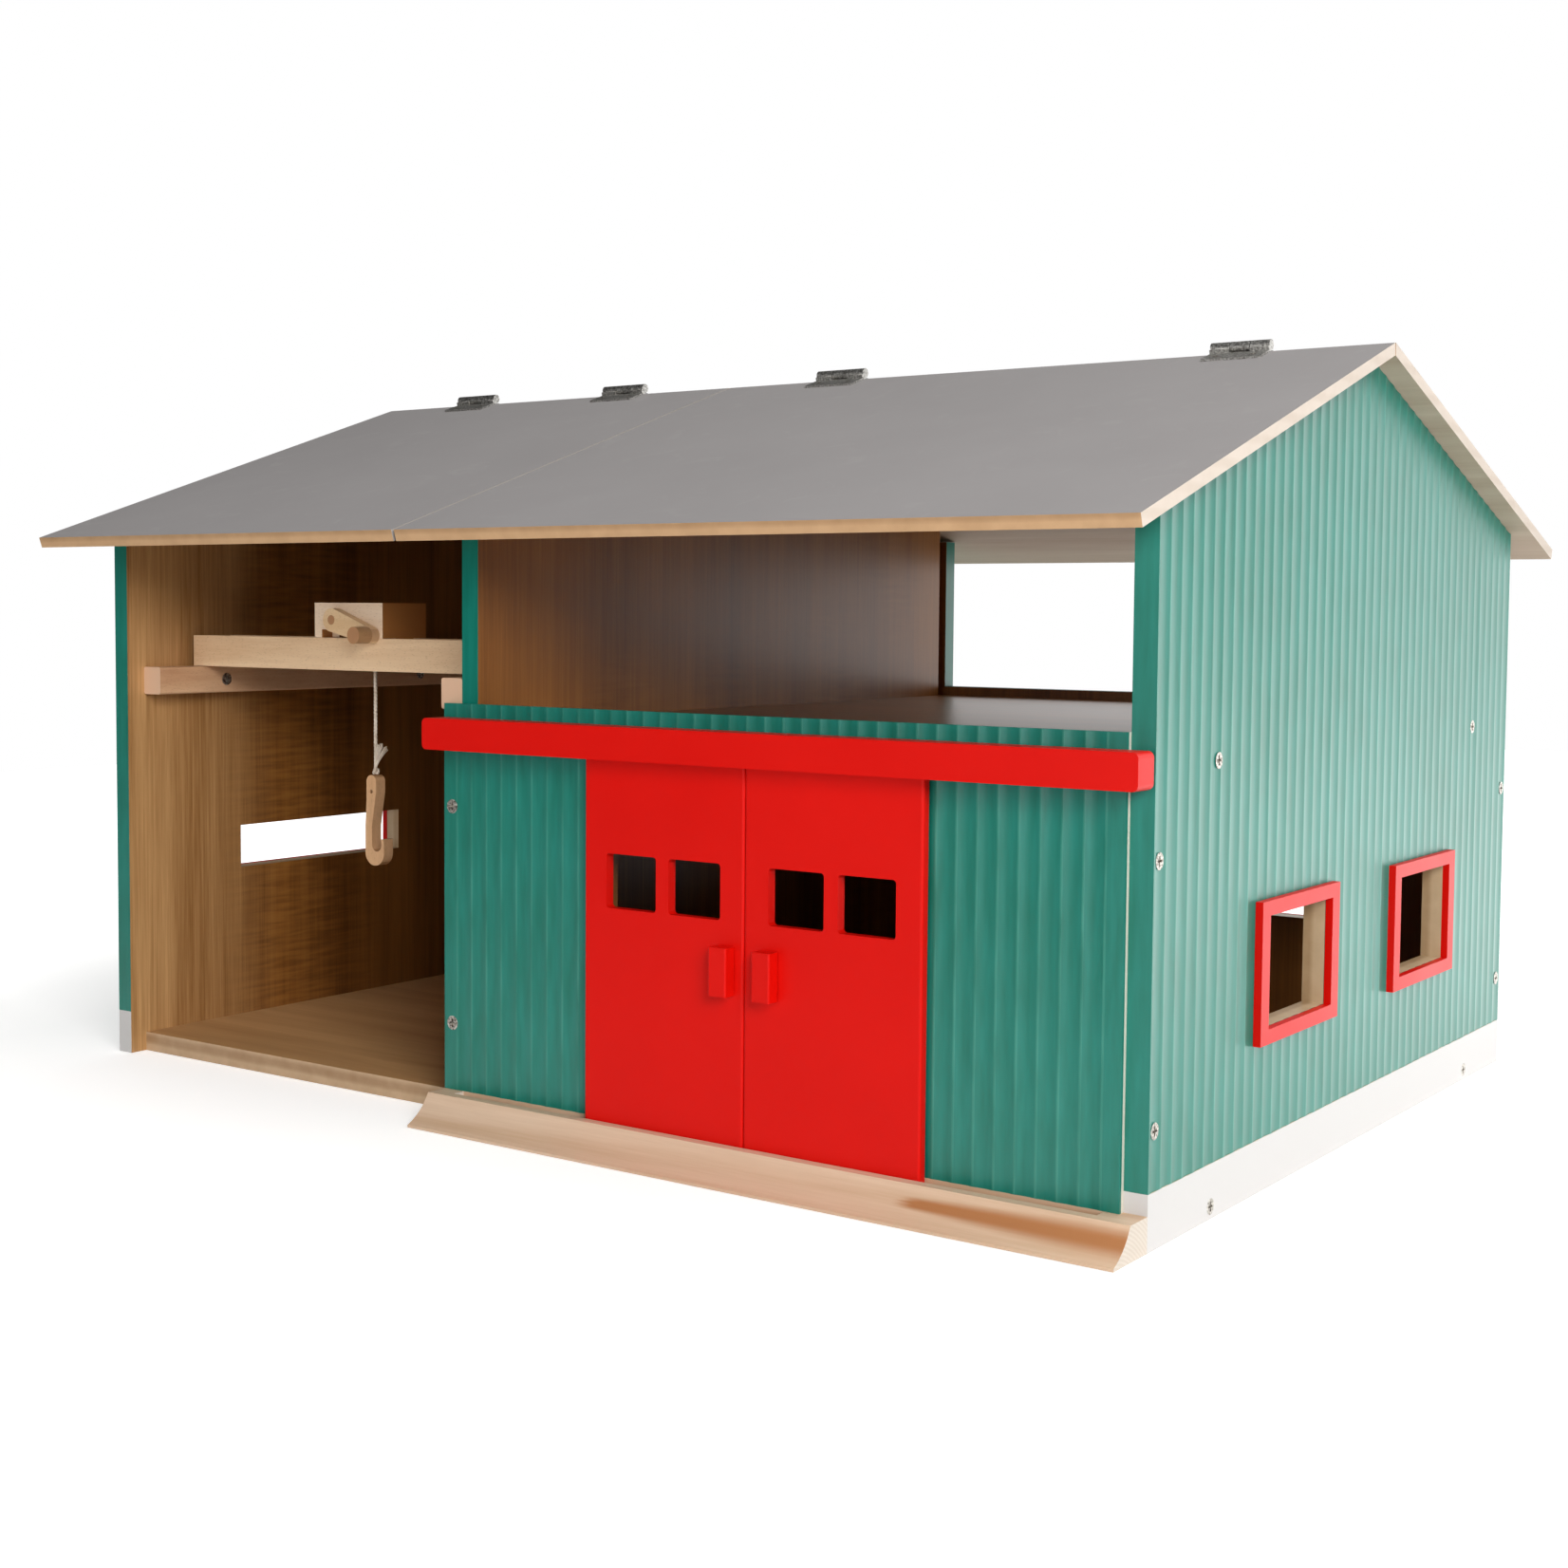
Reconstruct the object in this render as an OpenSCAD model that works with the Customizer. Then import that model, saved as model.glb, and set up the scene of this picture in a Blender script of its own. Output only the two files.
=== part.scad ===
/* [Housing] */
// Width over the two gable walls
body_w = 725; // [680:1:780]
// Depth of the gable walls, front to back
body_d = 525; // [480:1:580]
// Thickness of the wall and floor boards
wall_t = 12; // [10:0.5:14]
// Height of the plain painted plinth on the outer walls
plinth_h = 27; // [15:1:50]
// Inner width of the open left bay
left_bay_w = 282; // [250:1:310]
// Height of the top face of the loft floor
loft_z = 226; // [220:1:232]
// How far the upper partition stands to the right of the lower one
partition_shift = 10; // [0:1:10]
// Space between the upper partition and the rear wall
partition_rear_gap = 10; // [2:1:30]
// Height of the rear wall's ledge above the loft floor
loft_ledge_h = 6.5; // [3:0.5:20]

/* [Corrugation] */
// Distance from one groove to the next on the front cladding
front_pitch = 11.1; // [9:0.1:14]
// Distance from one groove to the next on the outer walls
wall_pitch = 11.9; // [9:0.1:14]
// Flat left between two grooves
flute_land = 0.7; // [0.4:0.1:2]
// Depth of a groove
flute_depth = 0.5; // [0.3:0.1:1.2]

/* [Windows] */
// Clear width of a square window
window_w = 85; // [60:1:100]
// Clear height of a square window
window_h = 57; // [40:1:80]
// Height of the sill of the square windows
window_z = 83; // [60:1:100]
// Distance from the front edge to the middle of the front side window
front_window_y = 170.5; // [140:1:190]
// Distance from the front edge to the middle of the rear side window
rear_window_y = 363; // [320:1:390]
// Distance from the left to the middle of the window in the rear wall
back_window_x = 590; // [560:1:620]
// Clear length of the slot window in the left gable
slot_w = 150; // [100:1:180]
// Clear height of the slot window
slot_h = 28.5; // [20:0.5:40]
// Height of the sill of the slot window
slot_z = 112.5; // [80:0.5:150]
// Distance from the front edge to the middle of the slot window
slot_y = 168; // [130:1:220]
// Thickness of the window frames
frame_t = 4; // [3:0.5:6]
// Width of the frame's upright sides
frame_side_w = 10; // [6:0.5:14]
// Height of the frame's top and bottom sides
frame_rail_h = 7.5; // [5:0.5:12]

/* [Front] */
// Thickness of the corrugated front cladding
cladding_t = 4; // [3:0.5:6]
// Height of the top edge of the cladding
cladding_top_z = 236; // [234:1:242]
// Width of the doorway
doorway_w = 200; // [170:1:204]
// Height of the top of the doorway
doorway_top_z = 200; // [180:1:205]
// Distance from the right outer wall face to the middle of the doorway
doorway_from_right = 218; // [210:1:225]
// Height of the wooden sill
sill_h = 17; // [15:0.5:20]
// Depth of the sill at its foot
sill_d = 34; // [28:1:40]
// Depth of the flat top of the sill
sill_top_d = 17.5; // [15:0.5:20]
// Height of the red header rail
header_h = 17.5; // [14:0.5:22]
// Depth of the header rail
header_d = 16; // [14:0.5:20]
// Height of the underside of the header rail
header_z = 210.7; // [206:0.1:214]
// How far the header stands out past the lower partition
header_start = 2; // [0:0.5:6]
// How far the header stands out past the right wall
header_end = 1; // [0:0.5:6]

/* [Sliding doors] */
// Width of one door
door_w = 104.4; // [100:0.2:108]
// Thickness of a door
door_t = 6; // [5:0.5:7]
// Space between door and cladding and between the two doors
door_gap = 0.5; // [0.3:0.1:1]
// Depth of the groove in the sill that the doors run in
sill_groove_depth = 4.5; // [3:0.5:6]
// Depth of the groove in the header that holds the doors
header_groove_depth = 8; // [5:0.5:10]
// Clearance above, below and in front of a door in its grooves
door_clearance = 1; // [0.5:0.1:1.5]
// Way that each door slides open
door_travel = 93; // [80:1:96]
// Width of a pane hole in a door
pane_w = 33.3; // [25:0.1:36]
// Height of a pane hole in a door
pane_h = 29; // [20:1:40]
// Height of the lower edge of the pane holes
pane_z = 131.7; // [110:0.1:150]
// Bar between the two pane holes of a door
pane_bar = 8.2; // [6:0.1:12]
// Width of a door handle block
handle_w = 11.2; // [8:0.2:16]
// Height of a door handle block
handle_h = 25; // [18:1:35]
// Depth of a door handle block
handle_d = 8; // [5:0.5:14]
// Height of the lower end of the handles
handle_z = 94; // [80:1:100]
// Distance of the left handle from the meeting edge
left_handle_inset = 5.4; // [3:0.1:15]
// Distance of the right handle from the meeting edge
right_handle_inset = 10; // [3:0.1:15]

/* [Roof] */
// Height of the ridge, top face of the roof
ridge_z = 434.5; // [420:0.5:450]
// Pitch of the roof in degrees
roof_pitch = 18.35; // [16:0.05:20]
// Thickness of the roof boards
roof_t = 6.5; // [5:0.5:8]
// Roof overhang beyond the front and rear edges, measured level
eave_overhang = 47.5; // [35:0.5:60]
// Roof overhang beyond each gable
gable_overhang = 13; // [8:0.5:20]
// How far the right flap reaches left over the upper partition's left face
flap_rest = 6; // [1:0.5:10]
// Gap between the two roof flaps
flap_gap = 2; // [1:0.5:4]
// Gap between the flaps and the rear roof panel at the ridge
ridge_gap = 1; // [0.6:0.1:2]
// Space under the roof boards on the walls
roof_seat_gap = 0.2; // [0.1:0.1:0.5]

/* [Roof hinges] */
// Length of a hinge
hinge_l = 35; // [30:1:45]
// Distance of a hinge's middle from the end of its flap
hinge_inset = 87; // [60:1:100]
// Radius of the hinge knuckles
knuckle_r = 3; // [2.5:0.1:3.5]
// Radius of the hinge pin
hinge_pin_r = 1.3; // [1:0.1:1.5]
// Thickness of a hinge leaf
leaf_t = 1.2; // [0.8:0.1:1.6]
// Width of a hinge leaf, from the pin to its edge
leaf_w = 17; // [15:0.5:22]
// Distance between the two screws of a leaf
leaf_screw_pitch = 22; // [18:1:24]
// Distance of the leaf screws from the pin
leaf_screw_reach = 10.5; // [9:0.5:12]
// Running gap in the hinge, on each side
hinge_play = 0.06; // [0.03:0.01:0.1]
// Gap between two knuckles
knuckle_gap = 0.4; // [0.2:0.1:0.8]
// Gap between the knuckles and the roof boards
knuckle_lift = 0.3; // [0.2:0.1:0.8]

/* [Overhead crane] */
// Width of a crane rail
rail_w = 16; // [12:0.5:20]
// Height of a crane rail
rail_h = 17.5; // [14:0.5:22]
// Height of the top face of the rails
rail_top_z = 250; // [244:1:256]
// Set-back of the left rail from the front edge
left_rail_y = 13; // [0:1:30]
// Space behind the left rail, up to the rear wall
rail_rear_gap = 20; // [2:1:60]
// Distance of the bridge from the front edge
bridge_y = 50; // [46:1:90]
// Depth of the bridge, over both beams
bridge_d = 37.6; // [34:0.2:44]
// Height of the bridge beams
beam_h = 20; // [16:0.5:24]
// Thickness of each bridge beam
beam_t = 10; // [8:0.5:11]
// Thickness of the end plates that join the beams
end_plate_t = 4; // [3:0.5:6]
// Side play of the bridge between the walls, on each side
bridge_play = 4.5; // [3:0.5:6]
// Running gap under the bridge and under the trolley
slide_gap = 0.2; // [0.1:0.1:0.4]
// Distance from the left gable's inner face to the trolley
trolley_x = 119.5; // [80:0.5:180]
// Width of the trolley block
trolley_w = 59.5; // [52:0.5:70]
// Height of the trolley block
trolley_h = 21.6; // [21:0.2:26]
// Thickness of the front and rear cheeks of the trolley
cheek_t = 8; // [6:0.5:10]
// Height of the notch under the crank in the front cheek
notch_h = 5; // [3:0.5:6]
// Width of that notch
notch_w = 23; // [12:1:26]
// Distance from the notch to the winch room behind it
notch_start = 6; // [2:0.5:8]
// Radius of the winch shaft
shaft_r = 3; // [2:0.1:3.5]
// Radius of the winch drum
drum_r = 6; // [5:0.1:6.5]
// Radius of the rope
rope_r = 1.2; // [0.8:0.1:1.4]
// Distance from the trolley's left end to the winch shaft
shaft_x = 21.4; // [20:0.2:24]
// Height of the shaft above the trolley's underside
shaft_h = 11; // [10.8:0.1:11.6]
// Distance of the rope behind the middle of the trolley
rope_set_back = 5.5; // [0:0.5:6]
// How far the rope can swing to each side, in degrees
swing = 18; // [5:1:20]
// Side play of the trolley's guide tongues between the beams
tongue_play = 1; // [0.5:0.1:1.5]
// Height of the guide tongues
tongue_h = 8; // [5:0.5:12]
// Length of a guide tongue
tongue_l = 13; // [8:0.5:13.5]
// Thickness of the crank arm
crank_t = 6; // [4:0.5:8]
// Radius of the round end of the crank arm on the shaft
crank_hub_r = 7.2; // [6:0.1:8]
// Distance from the shaft to the crank knob
crank_l = 32; // [26:0.5:40]
// Angle of the crank arm below level
crank_droop = 16.5; // [5:0.5:30]
// Radius of the crank knob
knob_r = 5.2; // [4:0.1:6.5]
// Length of the crank knob
knob_l = 11; // [8:0.5:18]

/* [Hook] */
// Height of the lowest point of the hook
hook_z = 127; // [110:0.5:140]
// Height of the hook
hook_h = 57; // [48:0.5:62]
// Width over the whole hook
hook_w = 16.2; // [14:0.2:20]
// Width of the hook's stem
hook_stem_w = 5.8; // [4:0.1:6.4]
// Width of the hook's head
hook_head_w = 8.4; // [7:0.2:10]
// Length of the hook's head, down to where it has narrowed to the stem
hook_head_l = 32; // [20:1:34]
// Width of the hook's tip
hook_tip_w = 2.3; // [2:0.1:4]
// Height of the hook's tip above its lowest point
hook_tip_h = 17; // [15:0.5:22]
// Thickness of the hook under its bend
hook_bend_t = 9; // [6:0.5:10]
// Thickness of the wooden hook
hook_t = 8; // [5:0.5:9]
// Distance from the hook's top to its rope hole
hook_hole_drop = 10.5; // [6:0.5:14]
// Radius of the rope's knot
knot_r = 2.5; // [2:0.1:3]
// Height of the rope's knot
knot_h = 4; // [3:0.5:6]

/* [Screws] */
// Diameter of the screw shanks
screw_d = 3; // [2.5:0.1:3.5]
// Diameter of the countersunk heads
screw_head_d = 8; // [6:0.1:9]
// Height of the countersunk heads
screw_head_h = 2.4; // [1.6:0.1:2.8]
// Length of the wall screws
screw_l = 28; // [24:1:34]
// Length of the screws in the crane rails
rail_screw_l = 24; // [18:1:25]
// Length of the small hinge screws
small_screw_l = 6; // [4:0.5:7]
// Gap between a screw and its hole
screw_play = 0.05; // [0.02:0.01:0.1]

/* [Hidden] */
centre_y = body_d / 2;
slope_t = roof_t / cos(roof_pitch);
partition_x = wall_t + left_bay_w;
upper_partition_x = partition_x + partition_shift;
right_inner_x = body_w - wall_t;
rear_inner_y = body_d - wall_t;
loft_bottom_z = loft_z - wall_t;
inner_w = body_w - 2 * wall_t;
doorway_x = body_w - doorway_from_right;
slab_mid = wall_t / 2;
front_y = -cladding_t;
door_back_y = front_y - door_gap;
door_front_y = door_back_y - door_t;
groove_front_y = door_front_y - door_clearance;
door_bottom_z = sill_h - sill_groove_depth + door_clearance;
door_top_z = header_z + header_groove_depth - door_clearance;
door_half_gap = door_gap / 5;
door_reach = door_w + door_half_gap + door_travel + door_clearance;
door_edge_r = door_t / 4;
pane_margin = (door_w - 2 * pane_w - pane_bar) / 2;
pane_corner_r = 2;
header_x = partition_x - header_start;
header_end_x = body_w + header_end;
sill_nose = 1.5;
sill_hollow = 2;
hinge_h = knuckle_r + knuckle_lift;
axis_z = ridge_z + hinge_h / cos(roof_pitch);
left_flap_x = -gable_overhang;
right_flap_x = upper_partition_x - flap_rest;
left_flap_w = right_flap_x - flap_gap - left_flap_x;
roof_end_x = body_w + gable_overhang;
left_hinges = [left_flap_x + hinge_inset, left_flap_x + left_flap_w - hinge_inset];
right_hinges = [right_flap_x + hinge_inset, roof_end_x - hinge_inset];
knuckle_l = (hinge_l - 2 * knuckle_gap) / 3;
leaf_start = 2 * knuckle_r / 3;
lip_w = knuckle_r;
lip_start = knuckle_r / 10;
rail_z = rail_top_z - rail_h;
rail_l = rear_inner_y - left_rail_y - rail_rear_gap;
beam_z = rail_top_z + slide_gap;
beam_x = wall_t + bridge_play;
beam_end_x = upper_partition_x - bridge_play;
rope_slot = bridge_d - 2 * beam_t;
trolley_z = beam_z + beam_h + slide_gap;
trolley_left = wall_t + trolley_x;
tongue_w = rope_slot - 2 * tongue_play;
winch_x = trolley_left + shaft_x;
winch_z = trolley_z + shaft_h;
wrap_r = drum_r + rope_r;
winch_room = wrap_r + rope_r + 0.6;
drum_l = bridge_d - 2 * cheek_t - 1;
rope_x = winch_x + wrap_r;
drum_y = bridge_y + bridge_d / 2;
rope_y = drum_y + rope_set_back;
swing_room = shaft_h * tan(swing);
rope_play = 0.4;
hook_top_z = hook_z + hook_h;
hook_bore_r = rope_r;
head_x = 1.1;
hook_x = rope_x - head_x - hook_head_w / 2;
crank_gap = 0.5;
crank_back_y = bridge_y - crank_gap;
knob_x = winch_x + crank_l * cos(crank_droop);
knob_z = winch_z - crank_l * sin(crank_droop);
side_screws_z = [55, 178];
board_screw_rows = [70, 456];
rail_screw_rows = [68, 250, 432];
roof_screw_rows = [70, 200];
edge_screw_y = slab_mid;

function roof_under(y) = ridge_z - slope_t - tan(roof_pitch) * abs(y - centre_y);

// Moves the corner of the left gable's foot to its place in the part's frame
module placed() {
    translate([-body_w / 2, -centre_y, 0]) children();
}

module box_from(low, high) {
    translate(low) cube(high - low);
}

module rounded_rect(w, h, r) {
    translate([r, 0]) square([w - 2 * r, h]);
    translate([0, r]) square([w, h - 2 * r]);
    for (x = [r, w - r], y = [r, h - r]) {
        translate([x, y]) circle(r = r, $fn = 32);
    }
}

// Upright grooves that cut into the face at the origin, spread evenly over a length along X
module flutes(length, height, pitch) {
    half_w = (pitch - flute_land) / 2;
    flute_r = (half_w * half_w + flute_depth * flute_depth) / (2 * flute_depth);
    count = floor((length / 2) / pitch);
    for (i = [-count:count - 1]) {
        translate([length / 2 + (i + 0.5) * pitch, flute_depth - flute_r, 0])
            cylinder(r = flute_r, h = height, $fn = 96);
    }
}

// Countersunk screw whose head lies flush at the origin, pointing down
module screw(length, d = screw_d, head_d = screw_head_d) {
    tip = d;
    difference() {
        union() {
            translate([0, 0, -screw_head_h]) cylinder(d1 = d, d2 = head_d, h = screw_head_h, $fn = 32);
            translate([0, 0, tip - length]) cylinder(d = d, h = length - tip - screw_head_h, $fn = 32);
            translate([0, 0, -length]) cylinder(d1 = d / 4, d2 = d, h = tip, $fn = 32);
        }
        for (turn = [0, 90]) {
            rotate([0, 0, turn]) cube([head_d * 0.6, head_d * 0.14, screw_head_h], center = true);
        }
    }
}

module screw_hole(length, d = screw_d, head_d = screw_head_d) {
    translate([0, 0, -length - 1]) cylinder(d = d + 2 * screw_play, h = length + 2, $fn = 32);
    translate([0, 0, -screw_head_h])
        cylinder(d1 = d + 2 * screw_play, d2 = head_d + 2 * screw_play, h = screw_head_h, $fn = 32);
    cylinder(d = head_d + 2 * screw_play, h = 2, $fn = 32);
}

// Outline of a gable in its own plane, X along the depth of the house
module gable_outline() {
    lift = -roof_seat_gap;
    polygon([[0, 0], [body_d, 0], [body_d, roof_under(body_d) + lift],
        [centre_y, roof_under(centre_y) + lift], [0, roof_under(0) + lift]]);
}

// Stands a drawing up so that its X runs along the depth and its thickness along X
module stand_on_depth() {
    rotate([90, 0, 90]) children();
}

module window_hole(w, h) {
    translate([-w / 2, 0]) square([w, h]);
}

module window_frame(w, h) {
    linear_extrude(frame_t) difference() {
        translate([-w / 2 - frame_side_w, -frame_rail_h])
            square([w + 2 * frame_side_w, h + 2 * frame_rail_h]);
        window_hole(w, h);
    }
}

// Places of the screws of the left and right gables, as [depth, height]
function board_screws() = [for (y = board_screw_rows) [y, slab_mid]];
function rear_wall_screws() = [for (z = side_screws_z) [body_d - edge_screw_y, z]];
function front_wall_screws() = [for (z = side_screws_z) [edge_screw_y, z]];
function loft_screws() = [for (y = board_screw_rows) [y, loft_z - slab_mid]];
function left_gable_places() = concat(board_screws(), rear_wall_screws());
function right_gable_places() = concat(left_gable_places(), front_wall_screws(), loft_screws());

module at_left_gable_screws() {
    for (p = left_gable_places()) {
        translate([0, p[0], p[1]]) rotate([0, -90, 0]) children();
    }
}

module at_right_gable_screws() {
    for (p = right_gable_places()) {
        translate([body_w, p[0], p[1]]) rotate([0, 90, 0]) children();
    }
}

module at_cladding_screws() {
    for (z = side_screws_z) {
        translate([partition_x + slab_mid, front_y, z]) rotate([90, 0, 0]) children();
    }
}

module at_rail_screws() {
    for (y = rail_screw_rows) {
        translate([wall_t + rail_w, y, rail_z + rail_h / 2]) rotate([0, 90, 0]) children();
        translate([upper_partition_x - rail_w, y, rail_z + rail_h / 2]) rotate([0, -90, 0]) children();
    }
}

module base_board() placed() {
    color("tan") difference() {
        box_from([wall_t, wall_t, 0], [right_inner_x, rear_inner_y, wall_t]);
        at_left_gable_screws() screw_hole(screw_l);
        at_right_gable_screws() screw_hole(screw_l);
    }
}

module left_gable() placed() {
    color("seagreen") difference() {
        stand_on_depth() linear_extrude(wall_t) difference() {
            gable_outline();
            translate([slot_y, slot_z]) window_hole(slot_w, slot_h);
        }
        translate([0, body_d, plinth_h]) rotate([0, 0, -90]) flutes(body_d, ridge_z, wall_pitch);
        at_left_gable_screws() screw_hole(screw_l);
        at_rail_screws() screw_hole(rail_screw_l);
        on_rear_slope() at_rear_roof_screws() screw_hole(screw_l);
    }
}

module right_gable() placed() {
    color("seagreen") difference() {
        translate([right_inner_x, 0, 0]) stand_on_depth() linear_extrude(wall_t) difference() {
            gable_outline();
            translate([front_window_y, window_z]) window_hole(window_w, window_h);
            translate([rear_window_y, window_z]) window_hole(window_w, window_h);
        }
        translate([body_w, 0, plinth_h]) rotate([0, 0, 90]) flutes(body_d, ridge_z, wall_pitch);
        at_right_gable_screws() screw_hole(screw_l);
        on_rear_slope() at_rear_roof_screws() screw_hole(screw_l);
    }
}

module rear_wall() placed() {
    ledge_z = loft_z + loft_ledge_h;
    open_x = upper_partition_x + wall_t;
    top_z = roof_under(body_d) - roof_seat_gap;
    color("seagreen") difference() {
        translate([0, body_d, 0]) rotate([90, 0, 0]) linear_extrude(wall_t) difference() {
            translate([wall_t, 0]) square([inner_w, top_z]);
            translate([open_x, ledge_z]) square([inner_w, top_z]);
            translate([back_window_x, window_z]) window_hole(window_w, window_h);
        }
        translate([right_inner_x, body_d, plinth_h]) rotate([0, 0, 180]) flutes(inner_w, ridge_z, wall_pitch);
        at_left_gable_screws() screw_hole(screw_l);
        at_right_gable_screws() screw_hole(screw_l);
    }
}

module lower_partition() placed() {
    color("burlywood") difference() {
        box_from([partition_x, 0, wall_t], [partition_x + wall_t, rear_inner_y, loft_bottom_z]);
        at_cladding_screws() screw_hole(screw_l);
    }
}

module upper_partition() placed() {
    rear_y = rear_inner_y - partition_rear_gap;
    color("burlywood") difference() {
        translate([upper_partition_x, 0, 0]) stand_on_depth() linear_extrude(wall_t) intersection() {
            gable_outline();
            translate([0, loft_z]) square([rear_y, ridge_z]);
        }
        at_rail_screws() screw_hole(rail_screw_l);
        on_rear_slope() at_rear_roof_screws() screw_hole(screw_l);
    }
}

module loft_floor() placed() {
    color("rosybrown") difference() {
        box_from([partition_x, 0, loft_bottom_z], [right_inner_x, rear_inner_y, loft_z]);
        at_right_gable_screws() screw_hole(screw_l);
    }
}

module doorway() {
    box_from([doorway_x - doorway_w / 2, front_y - 1, -1],
        [doorway_x + doorway_w / 2, wall_t + 1, doorway_top_z]);
}

module front_wall() placed() {
    color("burlywood") difference() {
        box_from([partition_x + wall_t, 0, 0], [right_inner_x, wall_t, loft_bottom_z]);
        doorway();
        at_right_gable_screws() screw_hole(screw_l);
    }
}

module front_cladding() placed() {
    length = right_inner_x - partition_x;
    color("seagreen") difference() {
        box_from([partition_x, front_y, sill_h], [right_inner_x, 0, cladding_top_z]);
        translate([partition_x, front_y, 0]) flutes(length, ridge_z, front_pitch);
        doorway();
        at_cladding_screws() screw_hole(screw_l);
    }
}

// Running groove of the two doors, stopped at both ends
module door_groove(low_z, high_z) {
    box_from([doorway_x - door_reach, groove_front_y, low_z], [doorway_x + door_reach, front_y, high_z]);
}

module header_rail() placed() {
    corner_r = 3;
    color("red") difference() {
        translate([0, front_y, 0]) rotate([90, 0, 0]) linear_extrude(header_d)
            translate([header_x, header_z]) rounded_rect(header_end_x - header_x, header_h, corner_r);
        door_groove(header_z - 1, header_z + header_groove_depth);
    }
}

module door_sill() placed() {
    chord_x = sill_d - sill_top_d;
    chord_z = sill_h - sill_nose;
    chord = norm([chord_x, chord_z]);
    arc_r = (chord * chord / 4 + sill_hollow * sill_hollow) / (2 * sill_hollow);
    away = (arc_r - sill_hollow) / chord;
    color("tan") difference() {
        translate([partition_x, 0, 0]) stand_on_depth() linear_extrude(body_w - partition_x) difference() {
            polygon([[0, 0], [-sill_d, 0], [-sill_d, sill_nose], [-sill_top_d, sill_h], [0, sill_h]]);
            translate([-sill_d + chord_x / 2 - away * chord_z, sill_nose + chord_z / 2 + away * chord_x])
                circle(r = arc_r, $fn = 128);
        }
        door_groove(sill_h - sill_groove_depth, sill_h + 1);
    }
}

// One door with its outer edge at the origin and its two pane holes
module door_board() {
    difference() {
        translate([0, 0, door_bottom_z]) linear_extrude(door_top_z - door_bottom_z)
            rounded_rect(door_w, door_t, door_edge_r);
        for (x = [pane_margin, pane_margin + pane_w + pane_bar]) {
            translate([x, door_t + 1, pane_z]) rotate([90, 0, 0]) linear_extrude(door_t + 2)
                rounded_rect(pane_w, pane_h, pane_corner_r);
        }
    }
}

module handle_block() {
    linear_extrude(handle_h) rounded_rect(handle_w, handle_d, 1);
}

module left_door() placed() {
    color("red") translate([doorway_x - door_half_gap - door_w, door_front_y, 0]) door_board();
}

module right_door() placed() {
    color("red") translate([doorway_x + door_half_gap, door_front_y, 0]) door_board();
}

module left_door_handle() placed() {
    color("red") translate([doorway_x - door_half_gap - left_handle_inset - handle_w,
        door_front_y - handle_d, handle_z]) handle_block();
}

module right_door_handle() placed() {
    color("red") translate([doorway_x + door_half_gap + right_handle_inset,
        door_front_y - handle_d, handle_z]) handle_block();
}

// Puts a child drawn on a level roof onto the slope, with Y running from the ridge to the eave
module on_front_slope() {
    translate([0, centre_y, ridge_z]) rotate([roof_pitch, 0, 0]) mirror([0, 1, 0]) children();
}

module on_rear_slope() {
    translate([0, centre_y, ridge_z]) rotate([-roof_pitch, 0, 0]) children();
}

module roof_board(x, w) {
    run = (centre_y + eave_overhang) / cos(roof_pitch);
    lean = roof_t * tan(roof_pitch);
    translate([x, 0, 0]) stand_on_depth() linear_extrude(w)
        polygon([[ridge_gap / 2, 0], [run, 0], [run, -roof_t], [ridge_gap / 2 + lean, -roof_t]]);
}

module at_leaf_screws(hinges) {
    for (x = hinges, s = [-0.5, 0.5]) {
        translate([x + s * leaf_screw_pitch, leaf_screw_reach, leaf_t]) children();
    }
}

module hinge_screw() {
    screw(small_screw_l, 2.2, 4.6);
}

module hinge_screw_hole() {
    screw_hole(small_screw_l, 2.2, 4.6);
}

module at_rear_roof_screws() {
    for (x = [slab_mid, upper_partition_x + slab_mid, body_w - slab_mid], y = roof_screw_rows) {
        translate([x, y, 0]) children();
    }
}

module rear_roof_panel() placed() {
    color("darkgray") difference() {
        on_rear_slope() roof_board(left_flap_x, roof_end_x - left_flap_x);
        on_rear_slope() at_leaf_screws(concat(left_hinges, right_hinges)) hinge_screw_hole();
        on_rear_slope() at_rear_roof_screws() screw_hole(screw_l);
    }
}

module left_roof_flap() placed() {
    color("darkgray") difference() {
        on_front_slope() roof_board(left_flap_x, left_flap_w);
        on_front_slope() at_leaf_screws(left_hinges) hinge_screw_hole();
    }
}

module right_roof_flap() placed() {
    color("darkgray") difference() {
        on_front_slope() roof_board(right_flap_x, roof_end_x - right_flap_x);
        on_front_slope() at_leaf_screws(right_hinges) hinge_screw_hole();
    }
}

module knuckle(x, from, to) {
    translate([x - hinge_l / 2 + from, centre_y, axis_z]) rotate([0, 90, 0])
        cylinder(r = knuckle_r, h = to - from, $fn = 48);
}

module pin_bore(x) {
    translate([x - hinge_l / 2 - 1, centre_y, axis_z]) rotate([0, 90, 0])
        cylinder(r = hinge_pin_r + hinge_play, h = hinge_l + 2, $fn = 48);
}

module leaf_plate(x) {
    translate([x - hinge_l / 2, leaf_start, 0]) cube([hinge_l, leaf_w - leaf_start, leaf_t]);
}

// Upright foot that joins a knuckle to its leaf
module leaf_lip(x, from, to) {
    translate([x - hinge_l / 2 + from, lip_start, 0]) cube([to - from, lip_w, hinge_h]);
}

module front_leaf(x) {
    step = knuckle_l + knuckle_gap;
    difference() {
        union() {
            on_front_slope() leaf_plate(x);
            for (from = [0, 2 * step]) {
                on_front_slope() leaf_lip(x, from, from + knuckle_l);
                knuckle(x, from, from + knuckle_l);
            }
        }
        pin_bore(x);
        on_front_slope() at_leaf_screws([x]) hinge_screw_hole();
    }
}

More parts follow.
